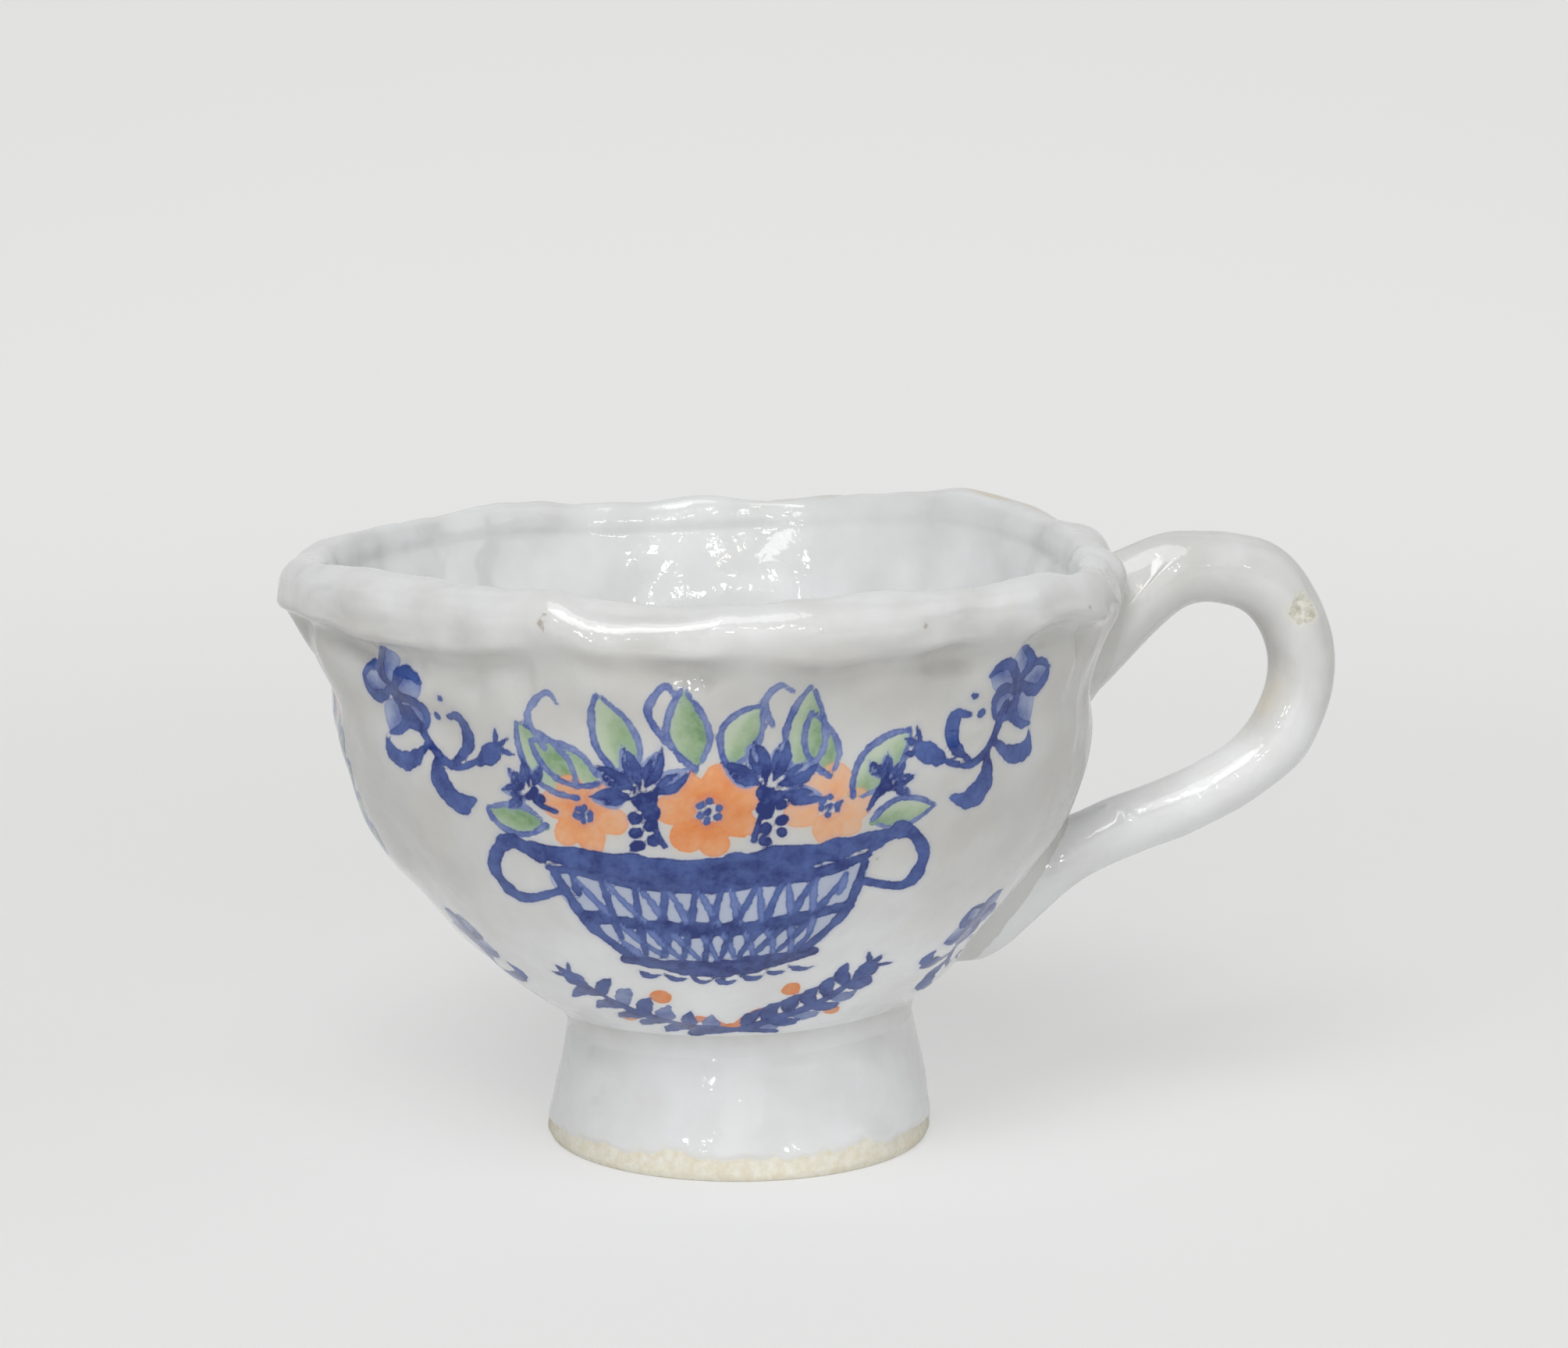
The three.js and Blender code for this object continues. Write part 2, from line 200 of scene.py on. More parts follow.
# %% [markdown]
# ## The outline of the wall
# One line runs from the middle of the underside out to the crease, up the outside, over the rolled rim and
# down the inside to the middle of the floor. The inside is one wall thickness in from the outside. We
# measure the line by its length, so that rows of points can be spread evenly along it, and we smooth it a
# little, because soft clay under glaze has no corners.

# %% The outside, the underside and the thickness
SWELL_START = 50  # from here up, the wall grows thicker towards the rim
SWELL_END = CROWN_START + 2


def underside(radius):
    return CREASE_HEIGHT - BOTTOM_DROP * (1 - (radius / CREASE_RADIUS) ** 3)


def outer_radius(height):
    rise = np.clip((height - CREASE_HEIGHT) / (SHOULDER_HEIGHT - CREASE_HEIGHT), 0, 1)
    belly = (SHOULDER_RADIUS - CREASE_RADIUS) * (1 - (1 - rise) ** BELLY_FULLNESS)
    flare = (MOUTH_WIDTH / 2 - SHOULDER_RADIUS) * smooth(height, SHOULDER_HEIGHT, CROWN_START)
    roll = ROLL_BULGE * bell(height, RIM_HEIGHT - ROLL_DROP, ROLL_SPREAD)
    return CREASE_RADIUS + belly + flare + roll


def thickness(height):
    return blend(WALL_THICKNESS, RIM_THICKNESS, smooth(height, SWELL_START, SWELL_END))


def inner_face(height):
    """Radius and height on the inside, one thickness in from a height on the outside."""
    step = 0.1
    below = np.maximum(height - step, CREASE_HEIGHT)
    slope = (outer_radius(below + step) - outer_radius(below)) / step
    square = np.hypot(1, slope)
    depth = thickness(height)
    return outer_radius(height) - depth / square, height + depth * slope / square


def length_so_far(across, up):
    return np.concatenate([[0], np.cumsum(np.hypot(np.diff(across), np.diff(up)))])


print("radius half-way up the cup:", round(float(outer_radius(RIM_HEIGHT / 2)), 1), "mm")

# %% Trace the outline
FLOOR_POINTS = 400
SIDE_POINTS = 1200
CROWN_POINTS = 160

fine_radius = np.linspace(0, CREASE_RADIUS, FLOOR_POINTS, endpoint=False)
fine_height = np.linspace(CREASE_HEIGHT, CROWN_START, SIDE_POINTS)
inner_radius, inner_height = inner_face(fine_height)
floor_slope = 3 * BOTTOM_DROP * (fine_radius / CREASE_RADIUS) ** 2 / CREASE_RADIUS
floor_square = np.hypot(1, floor_slope)
floor_radius = fine_radius - WALL_THICKNESS * floor_slope / floor_square
floor_height = underside(fine_radius) + WALL_THICKNESS / floor_square
past_floor = inner_radius > floor_radius[-1] + 0.1
crown_angle = np.linspace(0, math.pi, CROWN_POINTS)[1:-1]
crown_middle = (outer_radius(CROWN_START) + inner_radius[-1]) / 2
crown_half = (outer_radius(CROWN_START) - inner_radius[-1]) / 2
sharp_radius = np.concatenate([
    fine_radius,
    outer_radius(fine_height),
    crown_middle + crown_half * np.cos(crown_angle),
    inner_radius[past_floor][::-1],
    floor_radius[::-1],
])
sharp_height = np.concatenate([
    underside(fine_radius),
    fine_height,
    CROWN_START + RIM_CROWN * np.sin(crown_angle),
    inner_height[past_floor][::-1],
    floor_height[::-1],
])
sharp_length = length_so_far(sharp_radius, sharp_height)
print("the outline is", round(sharp_length[-1], 1), "mm long")

# %% Soften the outline
SOFTENED_OVER = 0.55  # mm
LINE_STEP = 0.1  # mm between points of the softened line
NEIGHBOURS = 25  # points on either side that count in an average
CREASE_SHARP, CREASE_SOFT = 2, 8  # mm past the crease, where the softening begins and where it is full
MIDDLE_SHARP, MIDDLE_SOFT = 3, 9  # mm before the middle of the floor, where it ends and where it is full


def averaging(offsets, spread):
    weights = np.exp(-((offsets / spread) ** 2) / 2)
    return weights / weights.sum()


even_length = np.arange(0, sharp_length[-1], LINE_STEP)
weights = averaging(np.arange(-NEIGHBOURS, NEIGHBOURS + 1) * LINE_STEP, SOFTENED_OVER)
crease_mark = sharp_length[len(fine_radius)]
past_crease = smooth(even_length, crease_mark + CREASE_SHARP, crease_mark + CREASE_SOFT)
softer = past_crease * smooth(sharp_length[-1] - even_length, MIDDLE_SHARP, MIDDLE_SOFT)


def softened(values):
    sharp = np.interp(even_length, sharp_length, values)
    soft = np.convolve(np.pad(sharp, NEIGHBOURS, mode="edge"), weights, mode="valid")
    return np.append(blend(sharp, soft, softer), values[-1])


line_radius = softened(sharp_radius)
line_height = softened(sharp_height)
line_length = length_so_far(line_radius, line_height)
highest = int(np.argmax(line_height))
crease_index = int(np.argmin(abs(even_length - crease_mark)))
OUTSIDE = slice(crease_index, highest + 1)
INSIDE = slice(highest, None)
print("softened outline:", round(line_length[-1], 1), "mm, top at", round(line_height[highest], 2), "mm")


# %% Marks along the outline
def length_at(height, inside=False):
    """How far along the outline the wall reaches a height, on its outer or its inner face."""
    if inside:
        return float(np.interp(-height, -line_height[INSIDE], line_length[INSIDE]))
    return float(np.interp(height, line_height[OUTSIDE], line_length[OUTSIDE]))


AT_CREASE = float(line_length[crease_index])
AT_SEAM = length_at(SEAM_HEIGHT)
AT_TOP = float(line_length[highest])
AT_INNER_SEAM = length_at(SEAM_HEIGHT + 1, inside=True)  # a little higher than outside
AT_FLOOR = length_at(CREASE_HEIGHT + WALL_THICKNESS + 3, inside=True)  # where the wall bends into the floor
AT_END = float(line_length[-1])
print("seam at", round(AT_SEAM, 1), "top at", round(AT_TOP, 1), "inner seam at", round(AT_INNER_SEAM, 1))

# %% [markdown]
# ## The marks of the hand
# The real wall is covered in soft dents: broad ones from pressing, thumb-sized ones in rows, and small lumps
# under the glaze. Random noise gives them. Ours is a cube of random numbers, repeated in all directions and
# smoothed in between, so the same place always gets the same number. It is made by code with a fixed seed,
# and so every run gives the same cup. We could leave this to a bump map, but the outline of the rim shows
# the dents, so they have to be real.

# %% Smooth noise that repeats exactly each run
NOISE_CELLS = 24
noise_cube = np.random.default_rng(11).uniform(-1, 1, (NOISE_CELLS, NOISE_CELLS, NOISE_CELLS))
noise_turn = np.array([[0.36, 0.48, -0.8], [-0.8, 0.6, 0.0], [0.48, 0.64, 0.6]])


def lumps(points, size, shift=0.0):
    """Noise from -1 to 1 whose lumps are about size mm wide."""
    spot = (points @ noise_turn) / size + shift
    cell = np.floor(spot).astype(int)
    part = spot - cell
    part = part * part * part * (part * (part * 6 - 15) + 10)
    total = 0
    for corner in range(8):
        step = np.array([corner & 1, (corner >> 1) & 1, corner >> 2])
        index = (cell + step) % NOISE_CELLS
        weight = np.prod(np.where(step == 1, part, 1 - part), axis=-1)
        total = total + weight * noise_cube[index[..., 0], index[..., 1], index[..., 2]]
    return total


def beside_ring(turn, height, around, up):
    """Noise stretched round the cup or up the wall: around and up are the lump's sizes in mm."""
    ring = SHOULDER_RADIUS / around
    spots = np.stack([ring * np.cos(turn), ring * np.sin(turn), height / up], axis=-1)
    return lumps(spots, size=1.0, shift=3.7)


def wavering(turn, around, layer=0.0):
    """Noise that changes only round the cup. Another layer gives another line."""
    return beside_ring(turn, 0 * turn + layer, around, 1)


sample = lumps(np.random.default_rng(1).uniform(-50, 50, (2000, 3)), 9)
print("noise lies between", sample.min().round(2), "and", sample.max().round(2))

# %% [markdown]
# ## Where the wall swells and sinks
# Each mark gets its own line. Broad dents run all over. Rows of longer dents lie below the rim, where two
# fingers squeezed the coil on, and that is also where a soft ledge wanders up and down. Inside, long upright
# hollows were left by the fingers that held the wall, and the lumps are smaller and sharper, which is why
# the lamps break into many bright spots there. Near the crease everything fades out, so that the foot fits.

# %% How deep and how wide the marks are
# Stretched marks: how far they move the clay, and their size round the cup and up the wall, all in mm.
THUMBS = (1.0, 12, 7)
WIPED = (0.22, 6, 16)
PINCHES = (0.2, 6, 8)
FOLDS = (0.75, 3.8, 34)
HELD = (0.45, 8.5, 40)

# Round marks: how far they move the clay, their size in mm, and where in the noise they are read.
BROAD = (0.5, 21, 0.0)
SMALL = (0.26, 6.5, 5.1)
TINY = (0.06, 3.4, 8.3)
PRESSED = (0.5, 8.5, 2.2)
BEADED = (0.36, 4.4, 6.4)

# Bands: how far they move the clay, the middle of the band and how wide it spreads, all in mm.
LEDGE_LIP = (0.5, 1.2, 1.1)
LEDGE_HOLLOW = (0.85, -1.5, 1.7)
LEDGE_PITS = (0.5, -3.4, 2.2)
FRONT_LIP = (0.35, AT_TOP + 2.7, 1.7)
BACK_LIP = (0.5, AT_TOP + 1.7, 1.0)
BACK_HOLLOW = (0.12, AT_TOP + 5.3, 2.5)

# Fades: the heights in mm between which a mark comes in or goes out.
WIPED_FADE = (26, 46)
FOLDS_FADE = (42, 60)
ROOT_CREASE_FADE = (60, 67)
HELD_FADE = (24, 44)
BEADED_FADE = (30, 55)


def stretched(mark, turn, height):
    amount, around, up = mark
    return amount * beside_ring(turn, height, around, up)


def rounded(mark, points):
    amount, size, shift = mark
    return amount * lumps(points, size, shift)


def band(mark, value):
    amount, middle, spread = mark
    return amount * bell(value, middle, spread)


print("the thumbs press in up to", THUMBS[0], "mm, and the ledge goes in", LEDGE_HOLLOW[0], "mm")

# %% Dents and lumps outside, and the ledge under the rim
LEDGE_DROP = 7.9  # from the top of the rim down to the ledge, on average
LEDGE_WANDER = 1.7
LEDGE_WAVE = 0.5
FOLDS_AT = math.radians(-16)  # upright folds where the handle's web pulled the clay
FOLDS_SPREAD = math.radians(14)
ROOT_CREASE_AT = math.radians(-5.2)  # the corner between the rim and the handle's web
ROOT_CREASE_SPREAD = math.radians(2.0)
ROOT_CREASE_DEPTH = 0.8


def ledge_height(turn):
    return RIM_HEIGHT - LEDGE_DROP + LEDGE_WANDER * wavering(turn, 11) + LEDGE_WAVE * np.cos(3 * turn + 1)


def outer_marks(turn, base, outside):
    height = base[..., 2]
    near_top = smooth(height, SHOULDER_HEIGHT - 6, SEAM_HEIGHT)
    low = 1 - smooth(height, *WIPED_FADE)
    thumbs = stretched(THUMBS, turn, height) * outside * blend(0.5, 1, near_top)
    wiped = stretched(WIPED, turn, height) * outside * low
    small = rounded(SMALL, base) * outside * blend(1, 1.8, near_top)
    return [rounded(BROAD, base), thumbs, wiped, small, rounded(TINY, base) * outside]


def ledge_marks(turn, base, outside):
    height = base[..., 2]
    above = height - ledge_height(turn)
    strength = np.clip(0.85 + 1.3 * wavering(turn, 6), 0.05, 1.7)
    ledge = (band(LEDGE_LIP, above) - band(LEDGE_HOLLOW, above)) * strength * outside
    pinches = stretched(PINCHES, turn, height) * outside * smooth(above, -1, 1.5)
    under_rim = smooth(height, *FOLDS_FADE) * (1 - smooth(height, SEAM_HEIGHT + 1, CROWN_START + 1))
    folds = stretched(FOLDS, turn, height) * bell(turn, FOLDS_AT, FOLDS_SPREAD) * outside * under_rim
    below_crown = 1 - smooth(height, CROWN_START + 1, RIM_HEIGHT)
    beside_root = smooth(height, *ROOT_CREASE_FADE) * below_crown * outside
    folds = folds - ROOT_CREASE_DEPTH * bell(turn, ROOT_CREASE_AT, ROOT_CREASE_SPREAD) * beside_root
    pits = -band(LEDGE_PITS, above) * smooth(wavering(turn, 5.5), 0.1, 0.6) * outside
    return [ledge, pinches, folds, pits]


print("the ledge runs", LEDGE_DROP, "mm below the rim's top, give or take a millimetre or two")

# %% Finger hollows and beads inside, and all marks together
SLANT = np.array([0.64, 0.0, 0.77])  # the fingers' way up the inside
SLANT_STRETCH = 0.6


def inner_marks(turn, base, inside):
    height = base[..., 2]
    held = stretched(HELD, turn, height) * inside * smooth(height, *HELD_FADE)
    slanted = base + (base @ SLANT)[..., None] * SLANT * (SLANT_STRETCH - 1)
    beaded = rounded(BEADED, slanted) * inside * blend(0.5, 1, smooth(height, *BEADED_FADE))
    return [held, rounded(PRESSED, base) * inside, beaded]


def lip_marks(turn, along):
    crown = 0.3 * wavering(turn, 9) * bell(along, AT_TOP, 4)
    behind = smooth(np.sin(turn), -0.5, 0.4)
    lip = band(FRONT_LIP, along) * (1 - behind) + behind * (band(BACK_LIP, along) - band(BACK_HOLLOW, along))
    return [crown, lip]


def wall_relief(turn, along, base):
    outside = 1 - smooth(along, AT_TOP - 2, AT_TOP + 2)
    marks = outer_marks(turn, base, outside) + ledge_marks(turn, base, outside)
    marks += inner_marks(turn, base, 1 - outside) + lip_marks(turn, along)
    above_crease = smooth(along, AT_CREASE + 1.2, AT_CREASE + 9)
    return sum(marks) * above_crease * smooth(AT_END - along, 0, 8)


print("the fingers went up the inside at", round(math.degrees(math.atan2(SLANT[2], SLANT[0]))), "degrees")


# %% [markdown]
# ## A point of the wall
# `place` finds the even point and bends it. `wall_point` then moves it in or out along the direction the
# wall faces there. That direction is the cross product of two small steps, one round the cup and one along
# the outline, and we keep it, because it also gives perfect shading where two pieces meet.

# %% Points and facing directions on the wall
WALL_STEPS = (0.004, 0.5)  # radians round the cup and mm along the outline
SHADE_STEPS = (0.008, 0.4)


def place(turn, along):
    radius = np.interp(along, line_length, line_radius)
    height = np.interp(along, line_length, line_height)
    return hand_built(turn, radius, height)


def unit(vectors):
    return vectors / np.maximum(np.linalg.norm(vectors, axis=-1, keepdims=True), 1e-9)


def facing(shape, turn, along, steps):
    turn_step, along_step = steps
    round_cup = shape(turn + turn_step, along) - shape(turn - turn_step, along)
    up_wall = shape(turn, along + along_step) - shape(turn, along - along_step)
    return unit(np.cross(round_cup, up_wall))


def wall_facing(turn, along):
    """Which way the even wall faces, before it has its marks."""
    return facing(place, turn, along, WALL_STEPS)


def wall_point(turn, along):
    base = place(turn, along)
    return base + wall_facing(turn, along) * wall_relief(turn, along, base)[..., None]


def marked_facing(turn, along):
    """Which way the wall faces with all its marks."""
    return facing(wall_point, turn, along, SHADE_STEPS)


print("a point of the front wall:", wall_point(np.array([-math.pi / 2]), np.array([60.0])).round(2))

# %% [markdown]
# ## From rings of points to a skin
# Every piece of this cup is a stack of rings, so one function joins them. Two rings with the same count give
# four-sided faces. Where the counts differ, as between the finely divided painted side and the plain inside,
# it walks round both rings at once and fills in triangles. A ring with a single point closes the skin.

# %% Join rings into one closed skin
def join_rings(counts, loops=False):
    starts = np.concatenate([[0], np.cumsum(counts)])
    faces = []
    for row in range(len(counts) if loops else len(counts) - 1):
        after = (row + 1) % len(counts)
        low, high = counts[row], counts[after]
        low_at, high_at = int(starts[row]), int(starts[after])
        if low == high:
            side = np.arange(low)
            turned = (side + 1) % low
            quads = np.stack([low_at + side, low_at + turned, high_at + turned, high_at + side], axis=1)
            faces.extend(quads.tolist())
            continue
        i = j = 0
        low_steps = low if low > 1 else 0
        high_steps = high if high > 1 else 0
        while i < low_steps or j < high_steps:
            if j >= high_steps or (i < low_steps and (i + 1) * high <= (j + 1) * low):
                faces.append([low_at + i, low_at + (i + 1) % low, high_at + j % high])
                i += 1
            else:
                faces.append([low_at + i % low, high_at + (j + 1) % high, high_at + j])
                j += 1
    return faces


def make_piece(name, points, faces):
    mesh = bpy.data.meshes.new(name)
    mesh.from_pydata(in_metres(points).tolist(), [], faces)
    mesh.shade_smooth()
    mesh.update()
    piece = bpy.data.objects.new(name, mesh)
    bpy.context.scene.collection.objects.link(piece)
    print(name, "has", len(points), "points and", len(faces), "faces")
    return piece


# %% [markdown]
# ## How finely to divide the bowl
# Brush strokes are stored on the points, so the front, which carries the big picture, gets more columns than
# the back. The inside and the underside have no painting and get fewer.

# %% Columns round the bowl and rows along it
PAINTED_COLUMNS = 560
PLAIN_COLUMNS = 300
UNDER_COLUMNS = 100
FRONT_EXTRA = 1.0  # how much denser the front is than the back
FRONT_SPREAD = 1.15  # radians to either side of the front

even_turn = np.linspace(-math.pi, math.pi, 4001)
density = 1 + FRONT_EXTRA * bell(even_turn, -math.pi / 2, FRONT_SPREAD)
share_done = np.concatenate([[0], np.cumsum((density[1:] + density[:-1]) / 2)])
share_done /= share_done[-1]


def columns(count):
    return np.interp(np.arange(count) / count, share_done, even_turn)


def spread_rows(start, end, step):
    count = max(1, round((end - start) / step))
    return np.linspace(start, end, count + 1)


gaps = np.degrees(np.diff(columns(PAINTED_COLUMNS)))
print("columns are", gaps.min().round(2), "to", gaps.max().round(2), "degrees apart")

# %% [markdown]
# ## The bowl and the rolled rim
# The potter pinched the bowl first and pressed the fat coil of the rim on afterwards, so they stay two
# pieces here too. They share a ring of points at the seam, outside and inside. Behind the surface each piece
# closes itself with a ring of its own that is set back into the clay, where nobody sees it.

# %% Build rows of points for the bowl and the rim
UNDER_STEP = 1.6  # mm from row to row
PAINTED_STEP = 0.45
RIM_STEP = 0.5
INSIDE_STEP = 1.05
FLOOR_STEP = 1.7
BOWL_SET_BACK = 1.5  # mm from the surface to the hidden rows
RIM_SET_BACK = 1.2


def wall_rows(rows):
    """Each row has a count of points, a place along the outline, and how far it is set back into the clay."""
    turns = np.concatenate([columns(count) for count, _, _ in rows])
    alongs = np.concatenate([np.full(count, along) for count, along, _ in rows])
    set_back = np.concatenate([np.full(count, inward) for count, _, inward in rows])
    return wall_point(turns, alongs) - wall_facing(turns, alongs) * set_back[:, None], turns, alongs


def rows_between(count, start, end, step):
    return [(count, along, 0) for along in spread_rows(start, end, step)]


bowl_rows = [(1, 0.0, 0)]
bowl_rows += rows_between(UNDER_COLUMNS, 0, AT_CREASE - 2, UNDER_STEP)[1:]
bowl_rows += rows_between(PAINTED_COLUMNS, AT_CREASE - 1, AT_SEAM, PAINTED_STEP)
bowl_rows += [(PAINTED_COLUMNS, AT_SEAM, BOWL_SET_BACK), (PLAIN_COLUMNS, AT_INNER_SEAM, BOWL_SET_BACK)]
bowl_rows += rows_between(PLAIN_COLUMNS, AT_INNER_SEAM, AT_FLOOR, INSIDE_STEP)
bowl_rows += rows_between(UNDER_COLUMNS, AT_FLOOR, AT_END, FLOOR_STEP)[1:-1]
bowl_rows += [(1, AT_END, 0)]
bowl_points, bowl_turns, bowl_alongs = wall_rows(bowl_rows)
bowl = make_piece("bowl_skin", bowl_points, join_rings([row[0] for row in bowl_rows]))

rim_rows = rows_between(PAINTED_COLUMNS, AT_SEAM, AT_INNER_SEAM, RIM_STEP)
rim_rows += [(PAINTED_COLUMNS, AT_INNER_SEAM, RIM_SET_BACK), (PAINTED_COLUMNS, AT_SEAM, RIM_SET_BACK)]
rim_points, rim_turns, rim_alongs = wall_rows(rim_rows)
rim = make_piece("rim_skin", rim_points, join_rings([row[0] for row in rim_rows], loops=True))

# %% [markdown]
# ## Shading that runs on over a seam
# Smooth shading looks only at one mesh, so two meshes that meet show a line even where their points agree.
# We therefore tell both meshes which way the real surface faces along the ring that they share.

# %% Give seams the true facing direction
def match_shading(piece, turns, alongs, seams):
    directions = np.zeros((len(turns), 3))
    for seam in seams:
        here = np.isclose(alongs, seam)
        directions[here] = marked_facing(turns[here], alongs[here])
    piece.data.normals_split_custom_set_from_vertices(directions.tolist())


match_shading(bowl, bowl_turns, bowl_alongs, [AT_SEAM, AT_INNER_SEAM])
match_shading(rim, rim_turns, rim_alongs, [AT_SEAM, AT_INNER_SEAM])
print("seams matched at", round(AT_SEAM, 1), "and", round(AT_INNER_SEAM, 1), "mm along the outline")

# %% [markdown]
# ## The foot
# The foot is a hollow ring that spreads towards the table. Its last few millimetres have no glaze: the
# potter wiped them clean, or the cup would have stuck to the kiln shelf. The glaze ends in a soft, wandering
# lip that stands a little proud of the bare clay. `bare_edge` says how deep a point is inside the bare band,
# in millimetres, and the finish uses the same number later, so colour and shape agree.

# %% Outline of the foot, from the table up the outside, over the top and down the inside
SEAT_GAP = 0.05  # mm between the foot's top and the bowl that stands on it
FOOT_TOP = underside(FOOT_TOP_RADIUS) - SEAT_GAP


def foot_radius(height):
    rise = np.clip(height / FOOT_TOP, 0, 1)
    return FOOT_TOP_RADIUS + (FOOT_BASE_RADIUS - FOOT_TOP_RADIUS) * (1 - rise) ** FOOT_FLARE


edge_angle = np.linspace(0, math.pi / 2, 30)
side_height = np.linspace(FOOT_EDGE, FOOT_TOP, 200)[1:]
seat_radius = np.linspace(FOOT_TOP_RADIUS, FOOT_TOP_RADIUS - FOOT_WALL, 40)[1:]
inner_top = underside(FOOT_TOP_RADIUS - FOOT_WALL) - SEAT_GAP
inner_side = np.linspace(inner_top, FOOT_INNER_EDGE, 160)[1:]
inner_foot = foot_radius(inner_side) - FOOT_WALL
outer_curl = [
    (foot_radius(FOOT_EDGE) - FOOT_EDGE * (1 - math.sin(angle)), FOOT_EDGE * (1 - math.cos(angle)))
    for angle in edge_angle
]
inner_curl = [
    (inner_foot[-1] + FOOT_INNER_EDGE * math.sin(angle), FOOT_INNER_EDGE * math.cos(angle))
    for angle in edge_angle
]
foot_line = np.array(
    outer_curl
    + list(zip(foot_radius(side_height), side_height))
    + [(radius, underside(radius) - SEAT_GAP) for radius in seat_radius]
    + list(zip(inner_foot, inner_side))
    + inner_curl
    + outer_curl[:1]
)
foot_length = length_so_far(foot_line[:, 0], foot_line[:, 1])
print("once round the foot's wall is", round(foot_length[-1], 1), "mm")

# %% The foot's surface, with the lip of the glaze
FOOT_STEPS = (0.004, 0.2)  # radians round the cup and mm along the foot's outline
BARE_BAND = 2.5  # mm of bare clay up from the table
BARE_SLOPE = 0.7  # mm that the band is wider on one side than on average
BARE_SIDE = math.radians(-100)
GLAZE_LIP = 0.22  # mm that the glaze stands proud
FOOT_LUMPS = [(0.3, 13, 1.3), (0.16, 6, 4.4), (0.05, 3, 7.7)]
GRIT = (0.06, 0.9, 2.9)


def place_on_foot(turn, along):
    around = np.mod(along, foot_length[-1])
    radius = np.interp(around, foot_length, foot_line[:, 0])
    height = np.interp(around, foot_length, foot_line[:, 1])
    return hand_built(turn, radius, height)


def bare_edge(turn, base):
    wander = 0.75 * wavering(turn, 9) + 0.35 * wavering(turn, 2.6, 1.8)
    slope = BARE_SLOPE * np.cos(turn - BARE_SIDE)
    return BARE_BAND + slope + wander - base[..., 2]


def foot_relief(turn, base):
    height = base[..., 2]
    into_bare = bare_edge(turn, base)
    glazed = 1 - smooth(into_bare, -0.45, 0.1)
    swollen = bell(into_bare, -0.9, 0.7)
    marks = sum(rounded(mark, base) for mark in FOOT_LUMPS) + rounded(GRIT, base) * (1 - glazed)
    free = smooth(height, 0.2, 2.2) * (1 - smooth(height, CREASE_HEIGHT - 4.5, CREASE_HEIGHT - 2.2))
    lip = GLAZE_LIP * (glazed - 1 + 0.35 * swollen) * smooth(height, 0, 0.5)
    return marks * free + lip


def foot_point(turn, along):
    base = place_on_foot(turn, along)
    outward = facing(place_on_foot, turn, along, FOOT_STEPS)
    return base + outward * foot_relief(turn, base)[..., None]


print("the glaze ends about", BARE_BAND, "mm above the table")

# %% The foot's skin
FOOT_COLUMNS = 400
AT_FOOT_TOP = float(foot_length[len(edge_angle) + len(side_height)])
AT_FOOT_INNER = float(foot_length[len(edge_angle) + len(side_height) + len(seat_radius)])
foot_rows = np.concatenate([
    spread_rows(0, AT_FOOT_TOP, 0.3)[:-1],
    spread_rows(AT_FOOT_TOP, AT_FOOT_INNER, 1.2)[:-1],
    spread_rows(AT_FOOT_INNER, foot_length[-2], 0.6),
])
foot_turns, foot_alongs = (grid.ravel() for grid in np.meshgrid(columns(FOOT_COLUMNS), foot_rows))
foot_points = foot_point(foot_turns, foot_alongs)
foot_points[:, 2] = np.maximum(foot_points[:, 2], 0)  # nothing dips below the table
foot = make_piece("foot_skin", foot_points, join_rings([FOOT_COLUMNS] * len(foot_rows), loops=True))
foot_bare = bare_edge(foot_turns, place_on_foot(foot_turns, foot_alongs))

# %% [markdown]
# ## The soft clay in the crease
# A thin coil was worked into the corner between bowl and foot with a wet finger. It is a hollow fillet. Its
# two edges run out along the bowl and along the foot, a hair below their skins, so no step shows, and its
# back closes inside the clay.

# %% Fillet between bowl and foot
FILLET_COLUMNS = 300
FILLET_ROWS = 12
FILLET_SINK = 0.04  # mm that its edges lie below the skins of bowl and foot
FILLET_UP = 2.3  # mm along the bowl, from the crease to the upper edge
FILLET_LOW = CREASE_HEIGHT - FOOT_FILLET_DOWN - 0.4
FOOT_SHADE_STEPS = (0.008, 0.3)


def curve_between(first, corner, last, share):
    """A bend from first to last that leaves and arrives along the lines to the corner."""
    share = share[:, None, None]
    return first * (1 - share) ** 2 + corner * 2 * share * (1 - share) + last * share ** 2


def all_round(value):
    return np.full(FILLET_COLUMNS, value)


fillet_turns = columns(FILLET_COLUMNS)
fillet_high = all_round(AT_CREASE + FILLET_UP)
low_edge = hand_built(fillet_turns, foot_radius(FILLET_LOW) - FILLET_SINK, all_round(FILLET_LOW))
high_edge = wall_point(fillet_turns, fillet_high) - wall_facing(fillet_turns, fillet_high) * FILLET_SINK
corner_edge = hand_built(fillet_turns, CREASE_RADIUS + 0.12, all_round(CREASE_HEIGHT - 0.15))
back_edge = hand_built(fillet_turns, CREASE_RADIUS - 1.0, all_round(CREASE_HEIGHT + 0.1))
fillet = curve_between(low_edge, corner_edge, high_edge, np.linspace(0, 1, FILLET_ROWS))
fillet_points = np.concatenate([fillet.reshape(-1, 3), back_edge])
fillet_counts = [FILLET_COLUMNS] * (FILLET_ROWS + 1)
foot_joint = make_piece("foot_joint_skin", fillet_points, join_rings(fillet_counts, loops=True))

